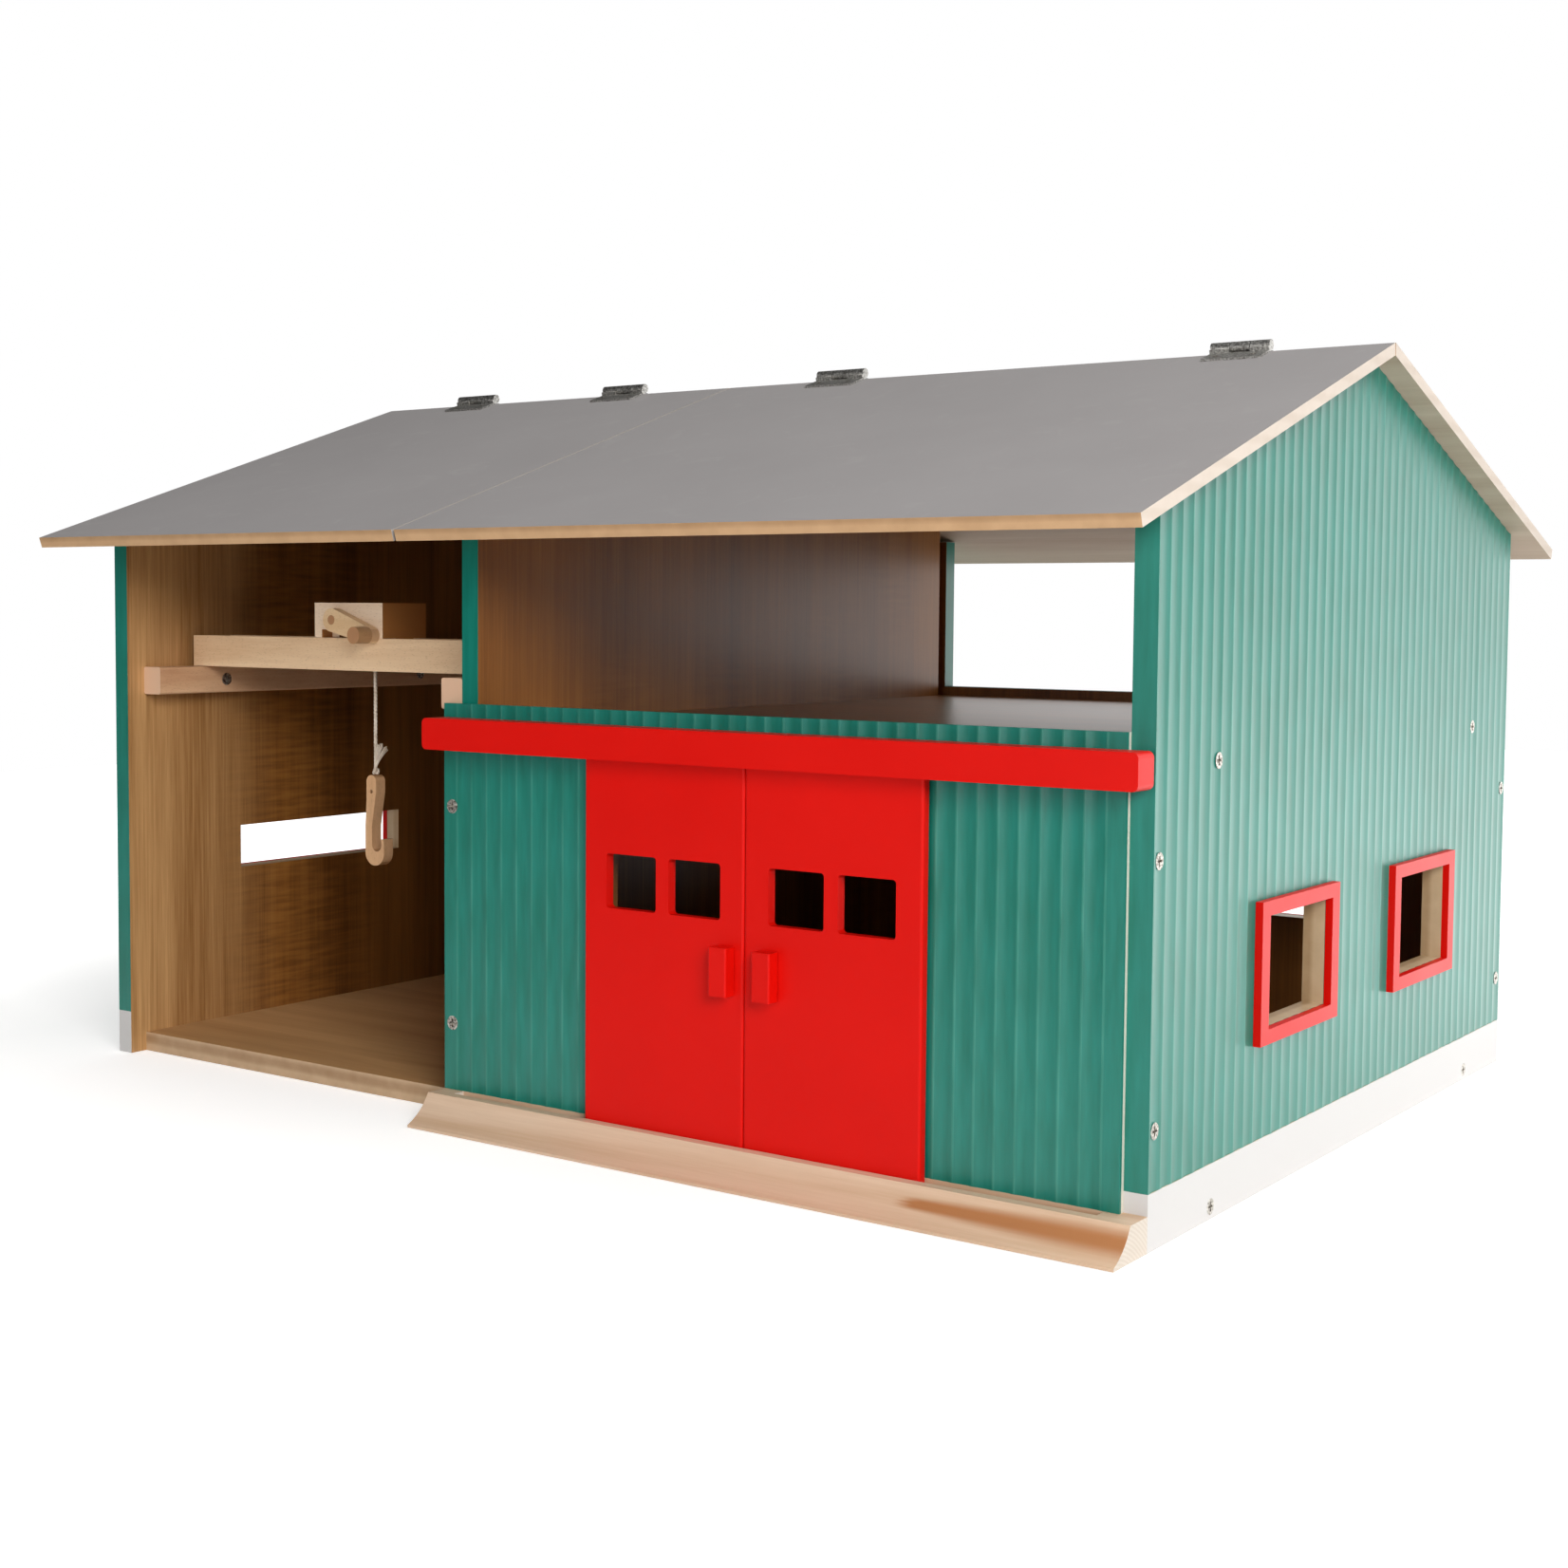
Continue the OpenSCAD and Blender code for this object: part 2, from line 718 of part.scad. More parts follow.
module rear_leaf(x) {
    step = knuckle_l + knuckle_gap;
    difference() {
        union() {
            on_rear_slope() leaf_plate(x);
            on_rear_slope() leaf_lip(x, step, step + knuckle_l);
            knuckle(x, step, step + knuckle_l);
        }
        pin_bore(x);
        on_rear_slope() at_leaf_screws([x]) hinge_screw_hole();
    }
}

module rear_hinge_leaves() placed() {
    color("silver") for (x = concat(left_hinges, right_hinges)) rear_leaf(x);
}

module left_flap_hinge_leaves() placed() {
    color("silver") for (x = left_hinges) front_leaf(x);
}

module right_flap_hinge_leaves() placed() {
    color("silver") for (x = right_hinges) front_leaf(x);
}

module hinge_pins() placed() {
    color("lightgray") for (x = concat(left_hinges, right_hinges)) {
        translate([x - hinge_l / 2, centre_y, axis_z]) rotate([0, 90, 0])
            cylinder(r = hinge_pin_r, h = hinge_l, $fn = 48);
    }
}

module rear_hinge_screws() placed() {
    color("gray") on_rear_slope() at_leaf_screws(concat(left_hinges, right_hinges)) hinge_screw();
}

module left_flap_screws() placed() {
    color("gray") on_front_slope() at_leaf_screws(left_hinges) hinge_screw();
}

module right_flap_screws() placed() {
    color("gray") on_front_slope() at_leaf_screws(right_hinges) hinge_screw();
}

module rear_roof_screws() placed() {
    color("gray") on_rear_slope() at_rear_roof_screws() screw(screw_l);
}

module front_side_window_frame() placed() {
    color("red") translate([body_w, front_window_y, window_z]) stand_on_depth()
        window_frame(window_w, window_h);
}

module rear_side_window_frame() placed() {
    color("red") translate([body_w, rear_window_y, window_z]) stand_on_depth()
        window_frame(window_w, window_h);
}

module back_window_frame() placed() {
    color("red") translate([back_window_x, body_d + frame_t, window_z]) rotate([90, 0, 0])
        window_frame(window_w, window_h);
}

module slot_window_frame() placed() {
    color("red") translate([-frame_t, slot_y, slot_z]) stand_on_depth() window_frame(slot_w, slot_h);
}

// Rounded batten that runs along the depth, with its front lower left corner at the origin
module rail_batten() {
    translate([0, rail_l, 0]) rotate([90, 0, 0]) linear_extrude(rail_l) rounded_rect(rail_w, rail_h, 1.5);
}

module left_crane_rail() placed() {
    color("burlywood") difference() {
        translate([wall_t, left_rail_y, rail_z]) rail_batten();
        at_rail_screws() screw_hole(rail_screw_l);
    }
}

module right_crane_rail() placed() {
    color("burlywood") difference() {
        translate([upper_partition_x - rail_w, 0, rail_z]) rail_batten();
        at_rail_screws() screw_hole(rail_screw_l);
    }
}

module crane_rail_screws() placed() {
    color("gray") at_rail_screws() screw(rail_screw_l);
}

module left_gable_screws() placed() {
    color("gray") at_left_gable_screws() screw(screw_l);
}

module right_gable_screws() placed() {
    color("gray") at_right_gable_screws() screw(screw_l);
}

module cladding_screws() placed() {
    color("gray") at_cladding_screws() screw(screw_l);
}

module bridge_beam(y) {
    box_from([beam_x + end_plate_t, y, beam_z], [beam_end_x - end_plate_t, y + beam_t, beam_z + beam_h]);
}

module end_plate(x) {
    box_from([x, bridge_y, beam_z], [x + end_plate_t, bridge_y + bridge_d, beam_z + beam_h]);
}

module crane_front_beam() placed() {
    color("burlywood") bridge_beam(bridge_y);
}

module crane_rear_beam() placed() {
    color("burlywood") bridge_beam(bridge_y + bridge_d - beam_t);
}

module crane_left_end_plate() placed() {
    color("burlywood") end_plate(beam_x);
}

module crane_right_end_plate() placed() {
    color("burlywood") end_plate(beam_end_x - end_plate_t);
}

// Block with room for the winch, a shaft bore and two tongues that run between the beams
module trolley_block() placed() {
    trolley_right = trolley_left + trolley_w;
    notch_x = winch_x - winch_room - notch_start;
    color("burlywood") difference() {
        union() {
            box_from([trolley_left, bridge_y, trolley_z],
                [trolley_right, bridge_y + bridge_d, trolley_z + trolley_h]);
            for (x = [trolley_left, trolley_right - tongue_l]) {
                box_from([x, drum_y - tongue_w / 2, trolley_z - tongue_h],
                    [x + tongue_l, drum_y + tongue_w / 2, trolley_z + 1]);
            }
        }
        box_from([winch_x - winch_room, bridge_y + cheek_t, trolley_z - 1],
            [winch_x + winch_room + swing_room, bridge_y + bridge_d - cheek_t, winch_z + winch_room]);
        box_from([notch_x, bridge_y - 1, trolley_z - 1],
            [notch_x + notch_w, bridge_y + cheek_t + 1, trolley_z + notch_h]);
        translate([winch_x, bridge_y - 1, winch_z]) rotate([-90, 0, 0])
            cylinder(r = shaft_r + hinge_play, h = bridge_d + 2, $fn = 48);
    }
}

module along_shaft(y, r, length) {
    translate([winch_x, y, winch_z]) rotate([-90, 0, 0]) cylinder(r = r, h = length, $fn = 48);
}

module winch_drum() placed() {
    color("tan") union() {
        along_shaft(crank_back_y - crank_t, shaft_r, crank_t + crank_gap + bridge_d);
        along_shaft(drum_y - drum_l / 2, drum_r, drum_l);
    }
}

module wound_rope() placed() {
    wound_l = drum_l - 6;
    color("ivory") difference() {
        along_shaft(drum_y - wound_l / 2, wrap_r + rope_r, wound_l);
        along_shaft(drum_y - drum_l, drum_r, 2 * drum_l);
        translate([rope_x, rope_y, winch_z - winch_room])
            cylinder(r = rope_r + rope_play, h = winch_room, $fn = 32);
    }
}

// Tapered arm between the shaft and the knob, built from two round ends and a straight web
module crank_arm() placed() {
    color("wheat") difference() {
        translate([winch_x, crank_back_y, winch_z]) rotate([90, 0, 0]) rotate([0, 0, -crank_droop])
            linear_extrude(crank_t) {
                circle(r = crank_hub_r, $fn = 48);
                translate([crank_l, 0]) circle(r = knob_r, $fn = 48);
                polygon([[0, -crank_hub_r], [crank_l, -knob_r], [crank_l, knob_r], [0, crank_hub_r]]);
            }
        along_shaft(crank_back_y - crank_t - 1, shaft_r, crank_t + 2);
    }
}

module crank_knob() placed() {
    color("peru") translate([knob_x, crank_back_y - crank_t, knob_z]) rotate([90, 0, 0])
        cylinder(r = knob_r, h = knob_l, $fn = 48);
}

module hoist_rope() placed() {
    low_z = hook_top_z + knot_h;
    color("ivory") translate([rope_x, rope_y, low_z]) cylinder(r = rope_r, h = winch_z - low_z, $fn = 32);
}

// Barrel-shaped knot that sits on the hook's head
module rope_knot() placed() {
    taper = knot_h / 4;
    color("ivory") translate([rope_x, rope_y, hook_top_z]) rotate_extrude($fn = 48)
        polygon([[0, 0], [rope_r, 0], [knot_r, taper], [knot_r, knot_h - taper], [rope_r, knot_h],
            [0, knot_h]]);
}

// Flat wooden J, drawn with its lowest point at height 0 and its stem on the left
module hook_outline() {
    bend_r = hook_w / 2;
    head_r = hook_head_w / 2;
    gap_r = (hook_w - hook_stem_w - hook_tip_w) / 2;
    gap_x = hook_stem_w + gap_r;
    gap_z = hook_bend_t + gap_r;
    head_z = hook_h - hook_head_l;
    difference() {
        union() {
            translate([bend_r, bend_r]) circle(r = bend_r, $fn = 64);
            translate([bend_r, bend_r]) square([bend_r, hook_tip_h - bend_r]);
            translate([head_x + head_r, hook_h - head_r]) circle(r = head_r, $fn = 48);
            polygon([[0, bend_r], [bend_r, bend_r], [hook_stem_w, head_z],
                [head_x + hook_head_w, hook_h - hook_head_l / 3], [head_x + hook_head_w, hook_h - head_r],
                [head_x, hook_h - head_r], [head_x, hook_h - hook_head_l / 2], [0, head_z]]);
        }
        translate([gap_x, gap_z]) circle(r = gap_r, $fn = 48);
        translate([hook_stem_w, gap_z]) square([2 * gap_r, head_z - gap_z]);
    }
}

module lifting_hook() placed() {
    color("burlywood") difference() {
        translate([hook_x, rope_y + hook_t / 2, hook_z]) rotate([90, 0, 0]) linear_extrude(hook_t)
            hook_outline();
        translate([rope_x, rope_y + hook_t, hook_top_z - hook_hole_drop]) rotate([90, 0, 0])
            cylinder(r = hook_bore_r, h = 2 * hook_t, $fn = 32);
    }
}

base_board();
left_gable();
right_gable();
rear_wall();
lower_partition();
upper_partition();
loft_floor();
front_wall();
front_cladding();
header_rail();
door_sill();
left_door();
right_door();
left_door_handle();
right_door_handle();
rear_roof_panel();
left_roof_flap();
right_roof_flap();
rear_hinge_leaves();
left_flap_hinge_leaves();
right_flap_hinge_leaves();
hinge_pins();
rear_hinge_screws();
left_flap_screws();
right_flap_screws();
rear_roof_screws();
front_side_window_frame();
rear_side_window_frame();
back_window_frame();
slot_window_frame();
left_crane_rail();
right_crane_rail();
crane_rail_screws();
left_gable_screws();
right_gable_screws();
cladding_screws();
crane_front_beam();
crane_rear_beam();
crane_left_end_plate();
crane_right_end_plate();
trolley_block();
winch_drum();
wound_rope();
crank_arm();
crank_knob();
hoist_rope();
rope_knot();
lifting_hook();
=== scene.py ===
import math
import bmesh
import bpy
from mathutils import Matrix, Vector


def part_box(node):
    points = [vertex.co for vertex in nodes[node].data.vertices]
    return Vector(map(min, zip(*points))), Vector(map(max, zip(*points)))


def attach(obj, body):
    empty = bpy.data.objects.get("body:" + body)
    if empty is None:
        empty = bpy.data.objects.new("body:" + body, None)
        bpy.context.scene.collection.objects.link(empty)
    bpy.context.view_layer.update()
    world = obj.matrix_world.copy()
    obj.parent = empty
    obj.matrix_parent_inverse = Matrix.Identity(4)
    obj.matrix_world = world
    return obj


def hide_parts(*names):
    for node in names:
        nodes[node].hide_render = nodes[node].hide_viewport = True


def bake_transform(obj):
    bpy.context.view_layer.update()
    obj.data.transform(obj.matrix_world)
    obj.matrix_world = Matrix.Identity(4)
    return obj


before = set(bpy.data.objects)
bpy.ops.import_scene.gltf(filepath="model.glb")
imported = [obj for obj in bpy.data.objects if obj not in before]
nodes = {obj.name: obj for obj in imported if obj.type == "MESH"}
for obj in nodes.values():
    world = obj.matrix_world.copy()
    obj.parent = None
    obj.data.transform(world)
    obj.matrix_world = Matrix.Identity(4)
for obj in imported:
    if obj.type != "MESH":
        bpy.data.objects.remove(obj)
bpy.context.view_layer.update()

# Camera: a normal lens in front of the right corner, at the height of the loft, turned left so
# that the long front and one gable are both seen.
stand = (0.7706, -1.14632, 0.29069)
heading, dip, tilt = (math.radians(a) for a in (36.21, -3.4, 0.36))
ahead = Vector((-math.sin(heading) * math.cos(dip), math.cos(heading) * math.cos(dip),
                math.sin(dip)))
level = Vector((math.cos(heading), math.sin(heading), 0))
upright = level.cross(ahead)
side = math.cos(tilt) * level + math.sin(tilt) * upright
top = math.cos(tilt) * upright - math.sin(tilt) * level
lens = bpy.data.cameras.new("camera")
lens.lens = 49.244
lens.sensor_width = 36
lens.shift_x = 0.0385
lens.shift_y = -0.0314
lens.clip_start = 0.05
camera = bpy.data.objects.new("camera", lens)
camera.matrix_world = (Matrix.Translation(stand)
                       @ Matrix((side, top, -ahead)).transposed().to_4x4())
bpy.context.collection.objects.link(camera)
bpy.context.scene.camera = camera


# Hoist rope: three-strand cotton cord, 2.4 mm thick, laid with a full twist every 7 mm. It comes
# off the winch drum inside the trolley and ends in a tight knot on the hook's head, with its
# frayed end standing up beside it.
def hue(code):
    """Linear colour of an sRGB hex value."""
    parts = [int(code[i:i + 2], 16) / 255 for i in (1, 3, 5)]
    return [p / 12.92 if p <= 0.04045 else ((p + 0.055) / 1.055) ** 2.4 for p in parts] + [1]


def add(tree, kind, settings, links=None):
    """Adds a shader node: named attributes and socket values in settings, sockets to join in
    links. A number is a socket's place: on a colour Mix, 0 is the share, 6 and 7 are the colours
    and output 2 is the result."""
    node = tree.nodes.new("ShaderNode" + kind)
    for key, value in settings.items():
        if isinstance(key, str) and hasattr(node, key):
            setattr(node, key, value)
        else:
            node.inputs[key].default_value = value
    for key, socket in (links or {}).items():
        tree.links.new(socket, node.inputs[key])
    return node


def start_finish(name, roughness):
    """A new material named for its finish, with its node tree and shader. Its IOR stays at 1.5,
    which suits cotton, wood, varnish and paint."""
    material = bpy.data.materials.new(name)
    material.use_nodes = True
    shader = material.node_tree.nodes["Principled BSDF"]
    shader.inputs["Roughness"].default_value = roughness
    return material, material.node_tree, shader


def lay_on(tree, shader, colour, height, strength, depth=0.0002):
    """Gives a finish its colour, and a relief of a depth in metres."""
    relief = add(tree, "Bump", {"Strength": strength, "Distance": depth}, {"Height": height})
    tree.links.new(colour, shader.inputs["Base Color"])
    tree.links.new(relief.outputs[0], shader.inputs["Normal"])


def wind(outline, axis, travel, steps, angle, place):
    """Turns an outline about an axis while it travels along it, caps both ends and moves the
    shape to its place."""
    bmesh.ops.spin(outline, geom=outline.verts[:] + outline.edges[:], cent=(0, 0, 0), axis=axis,
                   dvec=[a * travel / steps for a in axis], steps=steps, angle=angle)
    bmesh.ops.holes_fill(outline, edges=[e for e in outline.edges if e.is_boundary], sides=0)
    bmesh.ops.translate(outline, verts=outline.verts, vec=place)


def put(name, data, material, body):
    """Puts a finished piece in the scene at the origin, riding on its body."""
    if isinstance(data, bmesh.types.BMesh):
        bmesh.ops.recalc_face_normals(data, faces=data.faces)
        mesh = bpy.data.meshes.new(name)
        data.to_mesh(mesh)
        data.free()
        mesh.shade_smooth()
        data = mesh
    data.materials.append(material)
    piece = bpy.data.objects.new(name, data)
    bpy.context.collection.objects.link(piece)
    if body:
        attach(piece, body)
    return piece


def start_cord(name, radius, roundness):
    """A curve that is drawn as a closed round cord."""
    curve = bpy.data.curves.new(name, "CURVE")
    curve.dimensions = "3D"
    curve.bevel_depth = radius
    curve.bevel_resolution = roundness
    curve.use_fill_caps = True
    return curve


# Twisted cotton: off-white and dull, soiled light brown in patches by handling, with a fuzz of
# 0.4 mm fibres. A pattern's Scale, here and below, is how many of its marks fit in a metre.
twisted_cotton, tree, shader = start_finish("twisted_cotton", 0.9)
place = add(tree, "TexCoord", {})
fibres = add(tree, "TexNoise", {"Scale": 2500, "Detail": 3}, {"Vector": place.outputs["Object"]})
soiling = add(tree, "TexNoise", {"Scale": 180, "Detail": 2}, {"Vector": place.outputs["Object"]})
tone = add(tree, "Math", {"operation": "MULTIPLY_ADD", 1: 0.5},
           {0: fibres.outputs[0], 2: soiling.outputs[0]})
blend = add(tree, "MapRange", {"From Min": 0.45, "From Max": 1.05}, {"Value": tone.outputs[0]})
cotton = add(tree, "Mix", {"data_type": "RGBA", 6: hue("#B7A189"), 7: hue("#F0E6D7")},
             {0: blend.outputs[0]})
lay_on(tree, shader, cotton.outputs[2], fibres.outputs[0], 0.5)

rope_low, rope_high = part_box("hoist_rope")
rope_mid = (rope_low + rope_high) / 2
rope_top = Vector((rope_mid.x, rope_mid.y, rope_high.z))
rope_length = rope_high.z - rope_low.z
rope_radius = 0.0012
strands, lay_length, steps_a_turn = 3, 0.007, 14
strand_bulge = 0.12
rope_mesh = bmesh.new()
section = bmesh.ops.create_circle(rope_mesh, segments=18, radius=rope_radius)["verts"]
for v in section:
    v.co *= 1 - strand_bulge + strand_bulge * math.cos(strands * math.atan2(v.co.y, v.co.x))
twists = rope_length / lay_length
wind(rope_mesh, (0, 0, 1), -rope_length, round(twists * steps_a_turn), twists * math.tau, rope_top)
rope = put("laid_hoist_rope", rope_mesh, twisted_cotton, None)
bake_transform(rope)
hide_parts("hoist_rope")

# The knot is one trefoil loop of the cord, pulled tight and thin.
knot_low, knot_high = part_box("rope_knot")
knot_mid = (knot_low + knot_high) / 2
knot_points, loop_size, pulled_radius = 72, 0.00055, 0.00085
knot_curve = start_cord("tied_knot", pulled_radius, 3)
loops = knot_curve.splines.new("POLY")
loops.points.add(knot_points - 1)
for i, point in enumerate(loops.points):
    turn = i / knot_points * math.tau
    point.co = (knot_mid.x + loop_size * (math.sin(turn) + 2 * math.sin(2 * turn)),
                knot_mid.y + loop_size * (math.cos(turn) - 2 * math.cos(2 * turn)),
                knot_mid.z - loop_size * 2 * math.sin(3 * turn), 1)
loops.use_cyclic_u = True
knot = put("tied_knot", knot_curve, twisted_cotton, "hook")
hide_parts("rope_knot")

# The frayed end has come apart into its three strands, each a bundle of single threads that leave
# the knot together, lean over by a few millimetres and open into a brush at the tip.
threads, thread_steps, golden_angle = 13, 8, 2.4
thread_radius, bundle_radius, forward_lean = 0.00024, 0.0007, 0.0012
root = knot_mid + Vector((0.0008, -0.0014, 0))
fray = start_cord("frayed_ends", thread_radius, 1)
for strand, (lean, reach) in enumerate(((0.0035, 0.0175), (0.0068, 0.0182), (0.0108, 0.0165))):
    for k in range(threads):
        swing = k * golden_angle + strand
        spread = bundle_radius * math.sqrt((k + 0.5) / threads)
        thread = fray.splines.new("POLY")
        thread.points.add(thread_steps)
        for i, point in enumerate(thread.points):
            t = i / thread_steps
            opening = spread * (0.8 + 1.1 * t ** 3)
            point.co = (root.x + lean * t ** 1.5 + opening * math.cos(swing),
                        root.y - forward_lean * t + opening * math.sin(swing),
                        root.z + reach * t * (0.93 + 0.07 * math.cos(3 * swing)), 1)
frayed_ends = put("frayed_ends", fray, twisted_cotton, "hook")

# Rope turns: the wound part of the same cord, lying turn beside turn on the drum, out to the
# place where the hanging part leaves it.
wound_low, wound_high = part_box("wound_rope")
wound_mid = (wound_low + wound_high) / 2
wrap_radius = rope_mid.x - wound_mid.x
wound_width = rope_mid.y - wound_low.y - rope_radius
wrap_spacing, steps_a_wrap = 2.05 * rope_radius, 28
wraps = math.floor(wound_width / wrap_spacing)
wound_mesh = bmesh.new()
bmesh.ops.create_circle(wound_mesh, segments=10, radius=rope_radius,
                        matrix=Matrix.Translation((wrap_radius, 0, 0)))
wind(wound_mesh, (0, 1, 0), -wound_width, steps_a_wrap * wraps, wraps * math.tau,
     (wound_mid.x, rope_mid.y, wound_mid.z))
rope_turns = put("rope_turns", wound_mesh, twisted_cotton, "winch")
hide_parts("wound_rope")


# Base board: 12 mm birch plywood, sanded and bare, its pale face grain running along the shed.
# Its sawn front edge shows the glued layers.
def dress(material, *names):
    """Gives CAD nodes a finish."""
    for name in names:
        for holder in nodes[name].material_slots:
            holder.material = material


def grain(tree, along, ring_mm, stretch, seed):
    """Broad and fine streaks that run along one axis of the piece, ring_mm apart across it."""
    place = add(tree, "TexCoord", {})
    scale = [1000 / ring_mm] * 3
    scale[along] /= stretch
    laid = add(tree, "Mapping", {"Scale": scale, "Location": (seed, seed * 1.7, seed * 0.6)},
               {"Vector": place.outputs["Object"]})
    broad = add(tree, "TexNoise", {"Scale": 0.4, "Detail": 3, "Distortion": 0.8},
                {"Vector": laid.outputs[0]})
    fine = add(tree, "TexNoise", {"Scale": 3.0, "Detail": 5, "Roughness": 0.7},
               {"Vector": laid.outputs[0]})
    streaks = add(tree, "Math", {"operation": "MULTIPLY_ADD", 1: 0.45},
                  {0: fine.outputs[0], 2: broad.outputs[0]})
    return add(tree, "MapRange", {"From Min": 0.45, "From Max": 1.0},
               {"Value": streaks.outputs[0]}).outputs[0]


def plies(tree, across, pair_mm, light_ply, dark_ply, share=0.55):
    """Colour of a sanded plywood edge: light layers and brown ones, stacked along one axis. A real
    pair of layers is about 3 mm thick, and pair_mm is larger because the edge is blurred and
    stained, so that only one or two soft bands of it show."""
    place = add(tree, "TexCoord", {})
    layers = add(tree, "TexWave", {"bands_direction": "XYZ"[across], "Scale": 314 / pair_mm,
                                   "Distortion": 0.25, "Detail": 1},
                 {"Vector": place.outputs["Object"]})
    blotches = add(tree, "TexNoise", {"Scale": 90, "Detail": 4},
                   {"Vector": place.outputs["Object"]})
    weight = add(tree, "MapRange", {"From Min": 0.5, "From Max": 0.95, "To Max": share},
                 {"Value": layers.outputs[0]})
    grime = add(tree, "MapRange", {"To Min": -0.25, "To Max": 0.45}, {"Value": blotches.outputs[0]})
    both = add(tree, "Math", {"operation": "ADD", "use_clamp": True},
               {0: weight.outputs[0], 1: grime.outputs[0]})
    return add(tree, "Mix", {"data_type": "RGBA", 6: hue(light_ply), 7: hue(dark_ply)},
               {0: both.outputs[0]}).outputs[2]


def facing(tree):
    """Sockets of the surface's own direction and place on the piece, each as X, Y and Z."""
    place = add(tree, "TexCoord", {})
    way = add(tree, "SeparateXYZ", {}, {0: place.outputs["Normal"]})
    spot = add(tree, "SeparateXYZ", {}, {0: place.outputs["Object"]})
    return way.outputs, spot.outputs


# How much of a surface's direction lies along an axis that it faces: within 60 or 45 degrees.
towards, squarely = 0.5, 0.7

bare_plywood, tree, shader = start_finish("bare_birch_plywood", 0.6)
figure = grain(tree, 0, 9, 16, 3.1)
face = add(tree, "Mix", {"data_type": "RGBA", 6: hue("#B88A58"), 7: hue("#D2A570")}, {0: figure})
upward = add(tree, "Math", {"operation": "ABSOLUTE"}, {0: facing(tree)[0][2]})
is_face = add(tree, "Math", {"operation": "GREATER_THAN", 1: towards}, {0: upward.outputs[0]})
board = add(tree, "Mix", {"data_type": "RGBA"},
            {0: is_face.outputs[0], 6: plies(tree, 2, 15, "#C6A785", "#96724C"),
             7: face.outputs[2]})
lay_on(tree, shader, board.outputs[2], figure, 0.25)
dress(bare_plywood, "base_board")


# Gables and rear wall: 12 mm board, veneered and varnished inside, and fluted and painted green
# outside, with a white band along the foot. The paint runs over the outer edges; the window
# openings were cut later and show bare plies.
def varnished_veneer(tree, along, seed, ripple_share):
    """Colour and streaks of the brown veneer: pores 1.3 mm wide and 80 mm long, broad bands, and a
    ripple across the grain, 3 mm from wave to wave, that shows as strongly as ripple_share says.
    Real pores are a fifth as wide, and are drawn this coarse so that they show."""
    place = add(tree, "TexCoord", {})
    bands = grain(tree, along, 24, 30, seed)
    pore_scale, ripple_scale = [750] * 3, [26] * 3
    pore_scale[along], ripple_scale[along] = 12, 330
    drawn = add(tree, "Mapping", {"Scale": pore_scale, "Location": (seed, 0, 0)},
                {"Vector": place.outputs["Object"]})
    pores = add(tree, "TexNoise", {"Scale": 1, "Detail": 4, "Roughness": 0.7},
                {"Vector": drawn.outputs[0]})
    laid = add(tree, "Mapping", {"Scale": ripple_scale}, {"Vector": place.outputs["Object"]})
    ripple = add(tree, "TexNoise", {"Scale": 1, "Detail": 2, "Distortion": 0.3},
                 {"Vector": laid.outputs[0]})
    wave = add(tree, "MapRange", {"From Min": 0.35, "From Max": 0.65, "To Min": -0.3,
                                  "To Max": 0.3}, {"Value": ripple.outputs[0]})
    crossed = add(tree, "Math", {"operation": "MULTIPLY"}, {0: wave.outputs[0], 1: ripple_share})
    streaks = add(tree, "Math", {"operation": "MULTIPLY_ADD", 1: 0.9},
                  {0: pores.outputs[0], 2: bands})
    depth = add(tree, "Math", {"operation": "ADD"}, {0: streaks.outputs[0], 1: crossed.outputs[0]})
    share = add(tree, "MapRange", {"From Min": 0.5, "From Max": 1.5}, {"Value": depth.outputs[0]})
    wood = add(tree, "Mix", {"data_type": "RGBA", 6: hue("#5A320E"), 7: hue("#96622C")},
               {0: share.outputs[0]})
    return wood.outputs[2], streaks.outputs[0]


def green_paint(tree):
    """Colour of the brushed green paint, a little uneven in thickness, and its brush marks, 4 mm
    wide and 35 mm long, drawn coarser than bristles leave them so that they show."""
    place = add(tree, "TexCoord", {})
    laid = add(tree, "Mapping", {"Scale": (1, 1, 0.12)}, {"Vector": place.outputs["Object"]})
    brushing = add(tree, "TexNoise", {"Scale": 240, "Detail": 4}, {"Vector": laid.outputs[0]})
    clouds = add(tree, "TexNoise", {"Scale": 12, "Detail": 2}, {"Vector": place.outputs["Object"]})
    amount = add(tree, "Math", {"operation": "MULTIPLY_ADD", 1: 0.6},
                 {0: clouds.outputs[0], 2: brushing.outputs[0]})
    share = add(tree, "MapRange", {"From Min": 0.55, "From Max": 1.05},
                {"Value": amount.outputs[0]})
    return add(tree, "Mix", {"data_type": "RGBA", 6: hue("#076D5C"), 7: hue("#167C6E")},
               {0: share.outputs[0]}).outputs[2], brushing.outputs[0]


